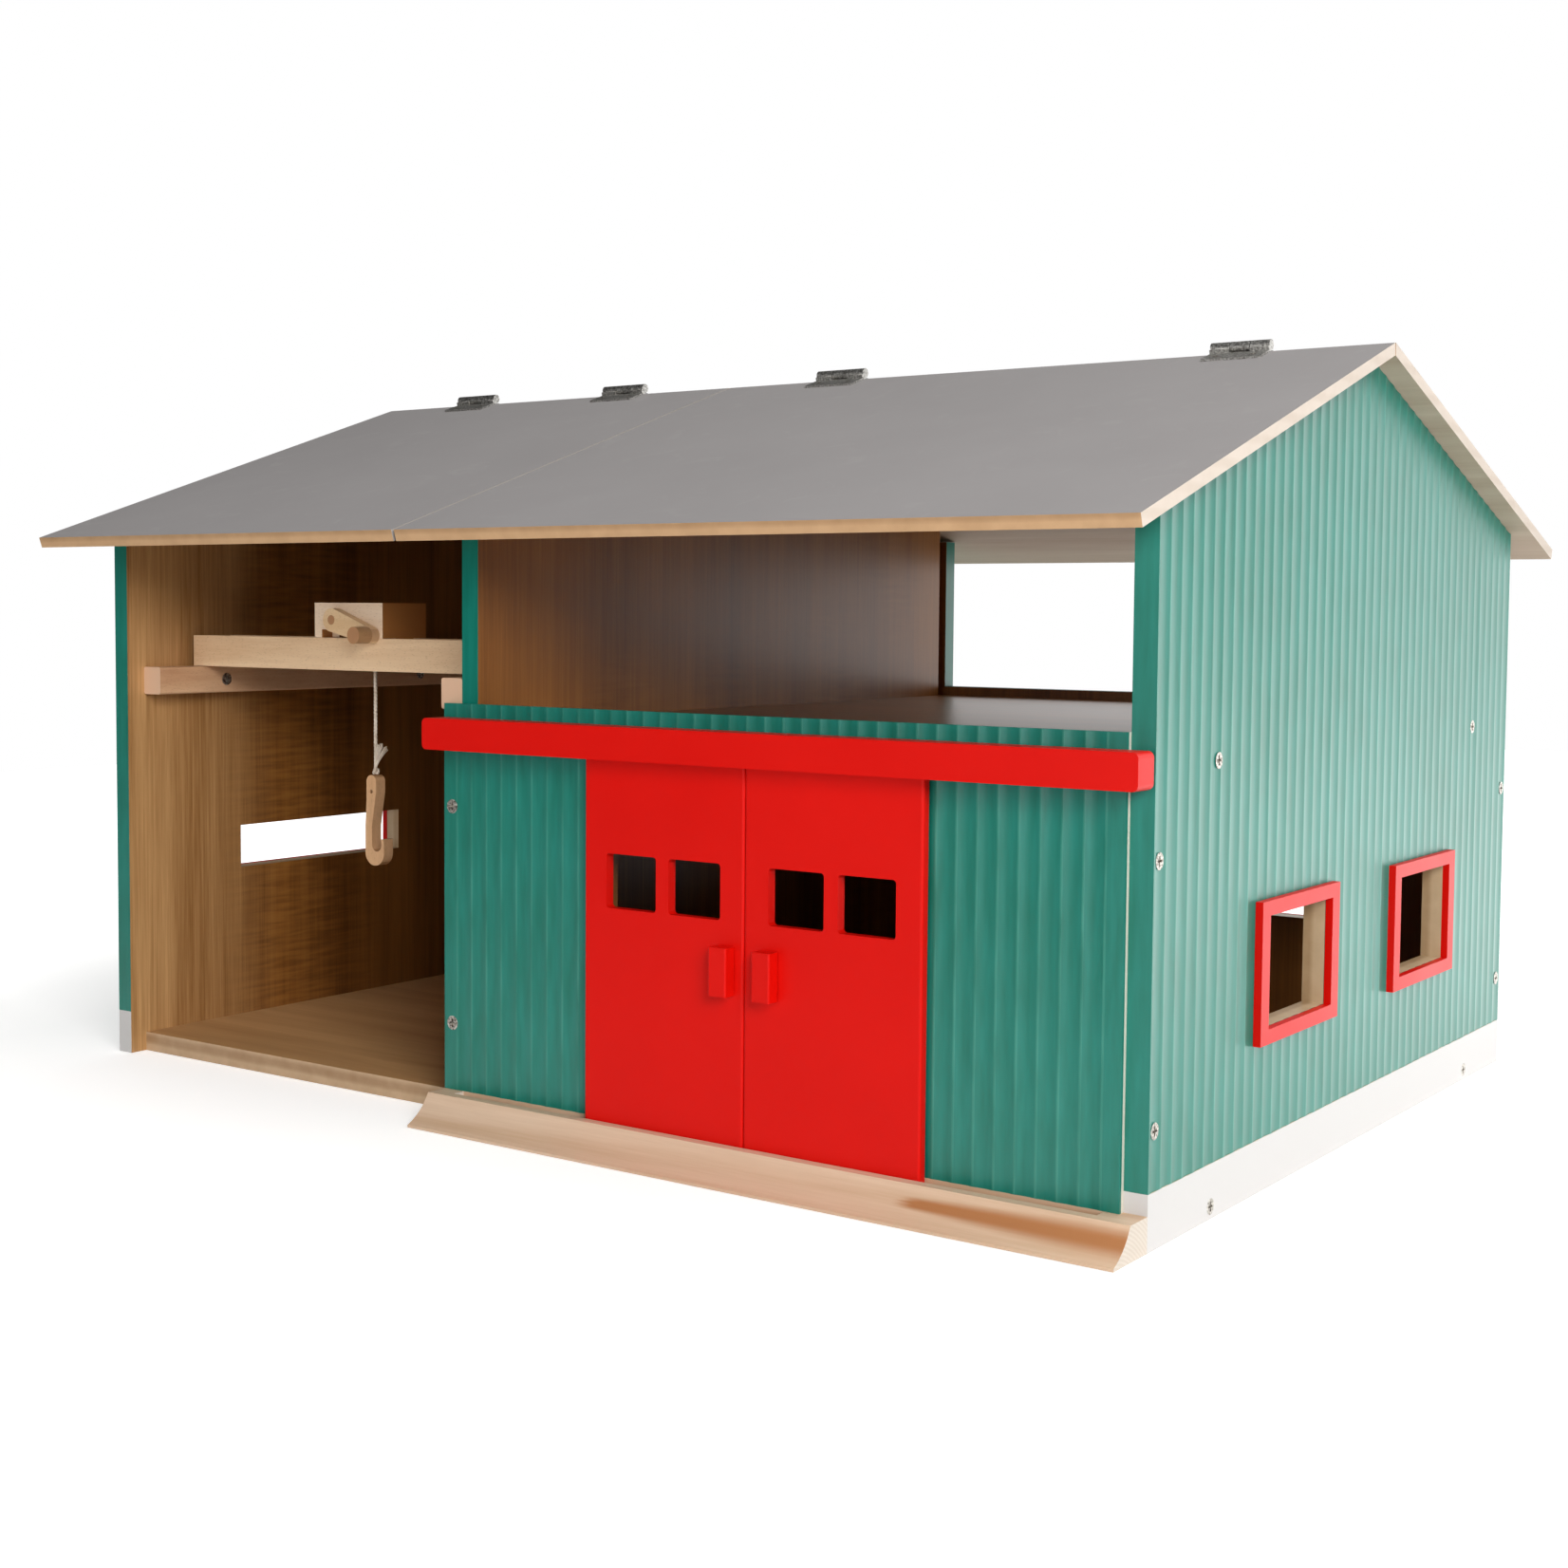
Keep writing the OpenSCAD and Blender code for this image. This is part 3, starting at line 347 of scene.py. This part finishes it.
def fluted_paint(tree, across, pitch, first_ridge):
    """The green paint on a fluted face, with its brush marks, and lighter on the sharp ridges
    between flutes: the paint is thinner there, and the lighter line is also a painted highlight of
    the light catching each ridge. Pitch and first ridge are in metres."""
    way, spot = facing(tree)
    green, brushing = green_paint(tree)
    count = add(tree, "Math", {"operation": "MULTIPLY_ADD", 1: 1 / pitch,
                               2: 0.5 - first_ridge / pitch}, {0: spot[across]})
    within = add(tree, "Math", {"operation": "FRACT"}, {0: count.outputs[0]})
    ridge = add(tree, "Math", {"operation": "COMPARE", 1: 0.5, 2: 0.06}, {0: within.outputs[0]})
    thin_paint_and_highlight = add(tree, "MapRange", {"From Min": 0.35, "From Max": 0.65, "To Min": 0.06,
                                  "To Max": 0.3}, {"Value": brushing})
    sideways = add(tree, "Math", {"operation": "ABSOLUTE"}, {0: way[1 - across]})
    fluted = add(tree, "Math", {"operation": "GREATER_THAN", 1: towards}, {0: sideways.outputs[0]})
    on_face = add(tree, "Math", {"operation": "MULTIPLY"},
                  {0: ridge.outputs[0], 1: fluted.outputs[0]})
    share = add(tree, "Math", {"operation": "MULTIPLY"},
                {0: on_face.outputs[0], 1: thin_paint_and_highlight.outputs[0]})
    # The ridges get a lighter green: thin paint, and a painted highlight where light catches them.
    return add(tree, "Mix", {"data_type": "RGBA", 7: hue("#57A390")},
               {0: share.outputs[0], 6: green}).outputs[2], brushing


def wall_finish(name, axis, outward, seed, cut_along, cut_limit):
    """Finish of an outer wall whose painted side faces along an axis. Its edges show bare plies
    where they are less than cut_limit from the middle or the foot, measured along cut_along."""
    material, tree, shader = start_finish(name, 0.4)
    way, spot = facing(tree)
    lined, brushing = fluted_paint(tree, 1 - axis, 0.0119, 0)

    # The veneer is drawn paler towards one edge, a gable's front or the rear wall's left one, as
    # painted light for the light that falls in there; it is rippled next to that, and plain over
    # the rest. Distances are in metres from the wall's middle.
    from_middle = spot[1 - axis]
    rising = add(tree, "MapRange", {"From Min": -0.22, "From Max": -0.14}, {"Value": from_middle})
    falling = add(tree, "MapRange", {"From Min": -0.03, "From Max": -0.11, "To Max": 0.8},
                  {"Value": from_middle})
    rippled = add(tree, "Math", {"operation": "MULTIPLY"},
                  {0: rising.outputs[0], 1: falling.outputs[0]})
    leaf, streaks = varnished_veneer(tree, 2, seed, rippled.outputs[0])
    # Paler veneer towards one edge: painted light, not a different wood.
    painted_edge_light = add(tree, "MapRange", {"interpolation_type": "SMOOTHSTEP", "From Min": -0.13,
                                     "From Max": -0.22}, {"Value": from_middle})
    streak_share = add(tree, "MapRange", {"From Min": 0.55, "From Max": 1.4}, {"Value": streaks})
    pale = add(tree, "Mix", {"data_type": "RGBA", 6: hue("#8F6234"), 7: hue("#DDAF77")},
               {0: streak_share.outputs[0]})
    brown = add(tree, "Mix", {"data_type": "RGBA"},
                {0: painted_edge_light.outputs[0], 6: leaf, 7: pale.outputs[2]})

    # The white band is 27 mm high, its upper line drawn by hand with a brush.
    place = add(tree, "TexCoord", {})
    wander = add(tree, "TexNoise", {"Scale": 60}, {"Vector": place.outputs["Object"]})
    brushed_line = add(tree, "Math", {"operation": "MULTIPLY_ADD", 1: 0.0008, 2: 0.0266},
                       {0: wander.outputs[0]})
    band = add(tree, "Math", {"operation": "LESS_THAN"}, {0: spot[2], 1: brushed_line.outputs[0]})
    paint = add(tree, "Mix", {"data_type": "RGBA", 7: hue("#CDCAC8")},
                {0: band.outputs[0], 6: lined})

    lean = add(tree, "Math", {"operation": "MULTIPLY", 1: outward}, {0: way[axis]})
    inner = add(tree, "Math", {"operation": "LESS_THAN", 1: -towards}, {0: lean.outputs[0]})
    edge = add(tree, "Math", {"operation": "COMPARE", 1: 0, 2: towards}, {0: lean.outputs[0]})
    off_middle = add(tree, "Math", {"operation": "ABSOLUTE"}, {0: spot[cut_along]})
    cut = add(tree, "Math", {"operation": "LESS_THAN", 1: cut_limit}, {0: off_middle.outputs[0]})
    opening = add(tree, "Math", {"operation": "MULTIPLY"}, {0: edge.outputs[0], 1: cut.outputs[0]})
    outside = add(tree, "Mix", {"data_type": "RGBA"},
                  {0: opening.outputs[0], 6: paint.outputs[2],
                   7: plies(tree, axis, 15, "#CDB491", "#A08058")})
    both = add(tree, "Mix", {"data_type": "RGBA"},
               {0: inner.outputs[0], 6: outside.outputs[2], 7: brown.outputs[2]})
    height = add(tree, "Mix", {"data_type": "FLOAT"},
                 {0: inner.outputs[0], 2: brushing, 3: streaks})
    lay_on(tree, shader, both.outputs[2], height.outputs[0], 0.12)
    return material


dress(wall_finish("painted_left_gable", 0, -1, 1.3, 1, 0.262), "left_gable")
dress(wall_finish("painted_right_gable", 0, 1, 4.9, 1, 0.262), "right_gable")
dress(wall_finish("painted_rear_wall", 1, 1, 7.7, 2, 0.2), "rear_wall")

# Partitions, loft floor and front wall: the same veneered board, varnished on both sides. The
# loft's wall and floor are drawn paler, as painted light for the light that falls into the loft;
# the loft's wall has a front edge painted green, and the grain of the loft floor, which lies flat,
# runs from side to side.
for name, along, seed, painted_loft_light, gloss in (("lower_partition", 2, 2.2, "#000000", 0.26),
                                        ("front_wall", 2, 5.1, "#000000", 0.26),
                                        ("upper_partition", 2, 6.3, "#54361A", 0.26),
                                        ("loft_floor", 0, 8.8, "#7A6048", 0.42)):
    material, tree, shader = start_finish("veneer_" + name, 0.32)
    shader.inputs["Specular IOR Level"].default_value = gloss
    place = add(tree, "TexCoord", {})
    patches = add(tree, "TexNoise", {"Scale": 9}, {"Vector": place.outputs["Object"]})
    rippled = add(tree, "MapRange", {"From Min": 0.5, "From Max": 0.7, "To Max": 0.4},
                  {"Value": patches.outputs[0]})
    leaf, streaks = varnished_veneer(tree, along, seed, rippled.outputs[0])
    # The added colour lightens the loft's wall and floor as painted light; the lower boards get
    # none.
    colour = add(tree, "Mix", {"data_type": "RGBA", "blend_type": "ADD", 0: 1, 7: hue(painted_loft_light)},
                 {6: leaf}).outputs[2]
    if name == "upper_partition":
        forward = facing(tree)[0][1]
        front = add(tree, "Math", {"operation": "LESS_THAN", 1: -towards}, {0: forward})
        colour = add(tree, "Mix", {"data_type": "RGBA"},
                     {0: front.outputs[0], 6: colour, 7: green_paint(tree)[0]}).outputs[2]
    lay_on(tree, shader, colour, streaks, 0.06)
    dress(material, name)

# Front cladding: a thin fluted board glued to the front wall and painted green. Its sawn right
# end was left raw along the rear edge and shows there as a pale line.
cladding_paint, tree, shader = start_finish("painted_cladding", 0.36)
way, spot = facing(tree)
coat, brushing = fluted_paint(tree, 0, 0.0111, 0.141)
raw_from_x = 0.34
raw_from_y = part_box("front_cladding")[1].y - 0.0024
sawn = add(tree, "Math", {"operation": "GREATER_THAN", 1: squarely}, {0: way[0]})
end = add(tree, "Math", {"operation": "GREATER_THAN", 1: raw_from_x}, {0: spot[0]})
unpainted = add(tree, "Math", {"operation": "GREATER_THAN", 1: raw_from_y}, {0: spot[1]})
cut_end = add(tree, "Math", {"operation": "MULTIPLY"}, {0: sawn.outputs[0], 1: end.outputs[0]})
raw = add(tree, "Math", {"operation": "MULTIPLY"}, {0: cut_end.outputs[0], 1: unpainted.outputs[0]})
skin = add(tree, "Mix", {"data_type": "RGBA", 7: hue("#D3CFC0")}, {0: raw.outputs[0], 6: coat})
lay_on(tree, shader, skin.outputs[2], brushing, 0.12)
dress(cladding_paint, "front_cladding")

# Header rail, doors, handles and window frames: solid softwood and thin board, sprayed with a
# semi-gloss red enamel. It has a slight orange-peel skin of 2.4 mm dimples, and clouds.
red_enamel, tree, shader = start_finish("red_enamel", 0.4)
shader.inputs["Specular IOR Level"].default_value = 0.15
place = add(tree, "TexCoord", {})
peel = add(tree, "TexNoise", {"Scale": 420, "Detail": 2}, {"Vector": place.outputs["Object"]})
clouds = add(tree, "TexNoise", {"Scale": 14, "Detail": 3}, {"Vector": place.outputs["Object"]})
enamel = add(tree, "Mix", {"data_type": "RGBA", 6: hue("#CF0A03"), 7: hue("#DB0F05")},
             {0: clouds.outputs[0]})
dulling = add(tree, "MapRange", {"To Min": 0.34, "To Max": 0.46}, {"Value": clouds.outputs[0]})
tree.links.new(dulling.outputs[0], shader.inputs["Roughness"])
lay_on(tree, shader, enamel.outputs[2], peel.outputs[0], 0.08)
dress(red_enamel, "header_rail", "left_door", "right_door", "left_door_handle", "right_door_handle",
      "front_side_window_frame", "rear_side_window_frame", "back_window_frame", "slot_window_frame")

# Door sill: a planed pine batten with a hollow front, left bare and straight in the grain. A
# brown heartwood streak runs out towards its right end, and widens on the way. Its sawn end
# shows rings 2 mm apart.
planed_pine, tree, shader = start_finish("planed_pine", 0.55)
way, spot = facing(tree)
figure = grain(tree, 0, 7, 30, 9.4)
streak_height, streak_blur = 0.0095, 0.001
pine = add(tree, "Mix", {"data_type": "RGBA", 6: hue("#C6A281"), 7: hue("#E4C9AF")}, {0: figure})
flame = add(tree, "Math", {"operation": "MULTIPLY_ADD", 1: 0.03}, {0: figure, 2: spot[0]})
along = add(tree, "MapRange", {"interpolation_type": "SMOOTHSTEP", "From Min": 0.25,
                               "From Max": 0.264}, {"Value": flame.outputs[0]})
half_wide = add(tree, "MapRange", {"From Min": 0.24, "From Max": 0.34, "To Min": 0.0025,
                                   "To Max": 0.0075}, {"Value": spot[0]})
off_middle = add(tree, "Math", {"operation": "SUBTRACT", 1: streak_height}, {0: spot[2]})
off_line = add(tree, "Math", {"operation": "ABSOLUTE"}, {0: off_middle.outputs[0]})
inside = add(tree, "MapRange", {"interpolation_type": "SMOOTHSTEP", "From Max": streak_blur},
             {"Value": off_line.outputs[0], "From Min": half_wide.outputs[0]})
heart = add(tree, "Math", {"operation": "MULTIPLY"}, {0: along.outputs[0], 1: inside.outputs[0]})
lengthways = add(tree, "Math", {"operation": "LESS_THAN", 1: towards}, {0: way[0]})
heartwood = add(tree, "Math", {"operation": "MULTIPLY"},
                {0: heart.outputs[0], 1: lengthways.outputs[0]})
side_grain = add(tree, "Mix", {"data_type": "RGBA", 7: hue("#AD7346")},
                 {0: heartwood.outputs[0], 6: pine.outputs[2]})
place = add(tree, "TexCoord", {})
pith = add(tree, "Mapping", {"Location": (0, 0.3, 0.03)}, {"Vector": place.outputs["Object"]})
rings = add(tree, "TexWave", {"wave_type": "RINGS", "rings_direction": "X", "Scale": 160,
                              "Distortion": 1}, {"Vector": pith.outputs[0]})
end_grain = add(tree, "Mix", {"data_type": "RGBA", 6: hue("#CDC0B1"), 7: hue("#D6CBBE")},
                {0: rings.outputs[0]})
sawn_end = add(tree, "Math", {"operation": "GREATER_THAN", 1: squarely}, {0: way[0]})
sill_wood = add(tree, "Mix", {"data_type": "RGBA"},
                {0: sawn_end.outputs[0], 6: side_grain.outputs[2], 7: end_grain.outputs[2]})
lay_on(tree, shader, sill_wood.outputs[2], figure, 0.2)
dress(planed_pine, "door_sill")

# Roof boards: 6.5 mm plywood with a matt, faintly scuffed grey coating on top, bare below and along
# the edges, where the layers show. The edges along the gables are the palest, and those at the seam
# between the two flaps are drawn grey. The bare underside is drawn pale, partly as painted light
# for the light that reaches it inside the loft.
roof_coating, tree, shader = start_finish("grey_coated_plywood", 0.7)
way, spot = facing(tree)
place = add(tree, "TexCoord", {})
mottle = add(tree, "TexNoise", {"Scale": 9, "Detail": 6, "Roughness": 0.6},
             {"Vector": place.outputs["Object"]})
rub = add(tree, "TexNoise", {"Scale": 45, "Detail": 5, "Distortion": 1.2},
          {"Vector": place.outputs["Object"]})
scuffs = add(tree, "MapRange", {"From Min": 0.6, "From Max": 0.78, "To Max": 0.3},
             {"Value": rub.outputs[0]})
slate = add(tree, "Mix", {"data_type": "RGBA", 6: hue("#8C8887"), 7: hue("#979392")},
            {0: mottle.outputs[0]})
coat = add(tree, "Mix", {"data_type": "RGBA", 7: hue("#A19D9B")},
           {0: scuffs.outputs[0], 6: slate.outputs[2]})
figure = grain(tree, 0, 10, 18, 5.5)
# The underside's pale colour is partly painted light for the light that falls on it inside the
# loft.
under = add(tree, "Mix", {"data_type": "RGBA", 6: hue("#B89E88"), 7: hue("#D2BEAA")}, {0: figure})
is_top = add(tree, "Math", {"operation": "GREATER_THAN", 1: squarely}, {0: way[2]})
is_under = add(tree, "Math", {"operation": "LESS_THAN", 1: -squarely}, {0: way[2]})
rims = add(tree, "Mix", {"data_type": "RGBA"},
           {0: is_under.outputs[0], 6: plies(tree, 2, 13, "#C9A279", "#9C7850", 0.5),
            7: under.outputs[2]})
sideways = add(tree, "Math", {"operation": "ABSOLUTE"}, {0: way[0]})
gable_side = add(tree, "Math", {"operation": "GREATER_THAN", 1: squarely},
                 {0: sideways.outputs[0]})
trims = add(tree, "Mix", {"data_type": "RGBA"},
            {0: gable_side.outputs[0], 6: rims.outputs[2],
             7: plies(tree, 2, 13, "#D3C6B9", "#C2B2A2", 0.35)})
seam_x = (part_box("left_roof_flap")[1].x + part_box("right_roof_flap")[0].x) / 2
near_seam = add(tree, "Math", {"operation": "COMPARE", 1: seam_x, 2: 0.01}, {0: spot[0]})
seam_side = add(tree, "Math", {"operation": "MULTIPLY"},
                {0: near_seam.outputs[0], 1: sideways.outputs[0]})
edges = add(tree, "Mix", {"data_type": "RGBA", 7: hue("#A39C96")},
            {0: seam_side.outputs[0], 6: trims.outputs[2]})
roof = add(tree, "Mix", {"data_type": "RGBA"},
           {0: is_top.outputs[0], 6: edges.outputs[2], 7: coat.outputs[2]})
lay_on(tree, shader, roof.outputs[2], rub.outputs[0], 0.15, 0.0003)
dress(roof_coating, "rear_roof_panel", "left_roof_flap", "right_roof_flap")

# Hinges and screws: pressed and turned steel, zinc plated. The plating is cloudy, with bright
# and dull patches a millimetre across, coarser than real ones so that they show, and browner
# on the screws.
for finish, dark, light, names in (
        ("zinc_plated_hinges", "#8F8C87", "#DAD8D3",
         ("rear_hinge_leaves", "left_flap_hinge_leaves", "right_flap_hinge_leaves", "hinge_pins")),
        ("zinc_plated_screws", "#6A625A", "#D8D3CA",
         ("rear_hinge_screws", "left_flap_screws", "right_flap_screws", "rear_roof_screws",
          "crane_rail_screws", "left_gable_screws", "right_gable_screws", "cladding_screws"))):
    material, tree, shader = start_finish(finish, 0.5)
    shader.inputs["Metallic"].default_value = 1
    place = add(tree, "TexCoord", {})
    cloudy = add(tree, "TexNoise", {"Scale": 800, "Detail": 3}, {"Vector": place.outputs["Object"]})
    share = add(tree, "MapRange", {"From Min": 0.35, "From Max": 0.65},
                {"Value": cloudy.outputs[0]})
    plating = add(tree, "Mix", {"data_type": "RGBA", 6: hue(dark), 7: hue(light)},
                  {0: share.outputs[0]})
    dulling = add(tree, "MapRange", {"To Min": 0.32, "To Max": 0.55}, {"Value": cloudy.outputs[0]})
    tree.links.new(dulling.outputs[0], shader.inputs["Roughness"])
    lay_on(tree, shader, plating.outputs[2], cloudy.outputs[0], 0.8, 0.0006)
    dress(material, *names)

# Crane: rails, bridge, trolley, winch and hook are sanded beech, bare or barely oiled, with the
# dark flecks of its rays, 0.7 mm wide and 4 mm long. Each piece has its grain along its length, its
# own tone, and sawn ends of another tone. The bridge and the trolley block are drawn paler, partly
# as painted light for the light from the front that reaches them under the roof.
for finish, along, seed, dark, light, end, names in (
        ("beech_rails", 1, 12.1, "#BC8D68", "#DAB28C", "#D8B294",
         ("left_crane_rail", "right_crane_rail")),
        # The bridge's pale tone is partly painted light from the front.
        ("beech_bridge", 0, 13.2, "#D6B088", "#EED0AA", "#B88A5C",
         ("crane_front_beam", "crane_rear_beam", "crane_left_end_plate", "crane_right_end_plate")),
        ("beech_winch", 1, 12.1, "#A47A52", "#C0986C", "#B08058", ("winch_drum", "crank_knob")),
        ("beech_crank", 0, 12.1, "#DDB98C", "#F2D6AC", "#C9A27A", ("crank_arm",)),
        # The trolley block's very pale tone is partly painted light from the front.
        ("beech_block", 0, 12.1, "#E6C8A8", "#F8E2C8", "#AD733C", ("trolley_block",)),
        ("beech_hook", 2, 11.0, "#C4956A", "#DEB286", "#B8895E", ("lifting_hook",))):
    material, tree, shader = start_finish(finish, 0.5)
    figure = grain(tree, along, 5, 14, seed)
    place = add(tree, "TexCoord", {})
    fleck_scale = [1400] * 3
    fleck_scale[along] = 260
    laid = add(tree, "Mapping", {"Scale": fleck_scale}, {"Vector": place.outputs["Object"]})
    cells = add(tree, "TexVoronoi", {"Scale": 1}, {"Vector": laid.outputs[0]})
    flecks = add(tree, "MapRange", {"From Min": 0.28, "From Max": 0.12, "To Max": 0.35},
                 {"Value": cells.outputs["Distance"]})
    wood = add(tree, "Mix", {"data_type": "RGBA", 6: hue(dark), 7: hue(light)}, {0: figure})
    side_grain = add(tree, "Mix", {"data_type": "RGBA", 7: hue("#8A6240")},
                     {0: flecks.outputs[0], 6: wood.outputs[2]})
    endways = add(tree, "Math", {"operation": "ABSOLUTE"}, {0: facing(tree)[0][along]})
    sawn = add(tree, "Math", {"operation": "GREATER_THAN", 1: squarely}, {0: endways.outputs[0]})
    beech = add(tree, "Mix", {"data_type": "RGBA", 7: hue(end)},
                {0: sawn.outputs[0], 6: side_grain.outputs[2]})
    lay_on(tree, shader, beech.outputs[2], figure, 0.2)
    dress(material, *names)

# Studio: a white table that keeps the shed's own shadow and is plain white further off, and that
# glossy faces see brighter towards the back.
table_white, tree, shader = start_finish("white_table", 0.8)
place = add(tree, "TexCoord", {})
dust = add(tree, "TexNoise", {"Scale": 30}, {"Vector": place.outputs["Object"]})
paper = add(tree, "Mix", {"data_type": "RGBA", 6: hue("#E6E4E2"), 7: hue("#EAE9E7")},
            {0: dust.outputs[0]})
rays = add(tree, "LightPath", {})
away = add(tree, "VectorMath", {"operation": "LENGTH"}, {0: place.outputs["Object"]})
for_camera = add(tree, "MapRange", {"From Min": 0.6, "From Max": 1.1, "To Min": 0.52,
                                    "To Max": 1.0}, {"Value": away.outputs["Value"]})
spot = add(tree, "SeparateXYZ", {}, {0: place.outputs["Object"]})
for_gloss = add(tree, "MapRange", {"From Min": -0.6, "From Max": 0.7, "To Min": 0.0,
                                   "To Max": 2.6}, {"Value": spot.outputs["Y"]})
shown = add(tree, "Math", {"operation": "MULTIPLY"},
            {0: for_camera.outputs[0], 1: rays.outputs["Is Camera Ray"]})
lift = add(tree, "Math", {"operation": "MULTIPLY_ADD"},
           {0: for_gloss.outputs[0], 1: rays.outputs["Is Glossy Ray"], 2: shown.outputs[0]})
tree.links.new(paper.outputs[2], shader.inputs["Base Color"])
shader.inputs["Emission Color"].default_value = (1, 1, 1, 1)
tree.links.new(lift.outputs[0], shader.inputs["Emission Strength"])
half_table, table_back, table_drop = 2.4, 1.1, 0.0003
table_mesh = bmesh.new()
bmesh.ops.create_grid(table_mesh, x_segments=1, y_segments=1, size=half_table)
bmesh.ops.translate(table_mesh, verts=table_mesh.verts, vec=(0, table_back, -table_drop))
table_data = bpy.data.meshes.new("table")
table_mesh.to_mesh(table_data)
table_mesh.free()
table_data.materials.append(table_white)
table = bpy.data.objects.new("table", table_data)
bpy.context.collection.objects.link(table)

# Surroundings: white to the camera, a darker room in front and a lighter one behind to the
# object, with a bright far wall that only glossy faces see.
world = bpy.data.worlds.new("white_studio")
world.use_nodes = True
tree = world.node_tree
tree.nodes.clear()
rays = add(tree, "LightPath", {})
mirrored = add(tree, "Math", {"operation": "MAXIMUM"},
               {0: rays.outputs["Is Glossy Ray"], 1: rays.outputs["Is Transmission Ray"]})
direction = add(tree, "TexCoord", {})
toward = add(tree, "SeparateXYZ", {}, {0: direction.outputs["Generated"]})
soft_light = add(tree, "MapRange", {"interpolation_type": "SMOOTHSTEP", "From Min": -0.6,
                                    "From Max": 0.2, "To Min": 0.05, "To Max": 0.5},
                 {"Value": toward.outputs["Y"]})
sheen = add(tree, "MapRange", {"interpolation_type": "SMOOTHSTEP", "From Min": 0.74,
                               "From Max": 0.9, "To Min": 0.03, "To Max": 1.35},
            {"Value": toward.outputs["Y"]})
walls = add(tree, "Mix", {"data_type": "FLOAT"},
            {0: mirrored.outputs[0], 2: soft_light.outputs[0], 3: sheen.outputs[0]})
strength = add(tree, "Math", {"operation": "MAXIMUM"},
               {0: walls.outputs[0], 1: rays.outputs["Is Camera Ray"]})
glow = add(tree, "Background", {"Color": (1, 1, 1, 1)}, {"Strength": strength.outputs[0]})
add(tree, "OutputWorld", {}, {"Surface": glow.outputs[0]})
bpy.context.scene.world = world

# Lamps: four square softboxes, all turned to the middle of the shed.
aim = Vector((0, 0, 0.15))
for name, spot_at, size, power in (("key_softbox", (2.2, -1.8, 1.3), 1.2, 64),
                                   ("front_softbox", (0.1, -2.8, 0.38), 1.0, 15),
                                   ("rear_softbox", (1.3, 2.6, 0.7), 1.4, 8),
                                   ("overhead_softbox", (1.15, 0.1, 2.5), 2.0, 32)):
    lamp = bpy.data.lights.new(name, "AREA")
    lamp.shape = "SQUARE"
    lamp.size = size
    lamp.energy = power
    holder = bpy.data.objects.new(name, lamp)
    holder.location = spot_at
    holder.rotation_euler = (aim - Vector(spot_at)).to_track_quat("-Z", "Y").to_euler()
    holder.visible_camera = False
    bpy.context.collection.objects.link(holder)

bpy.context.scene.view_settings.view_transform = "Standard"
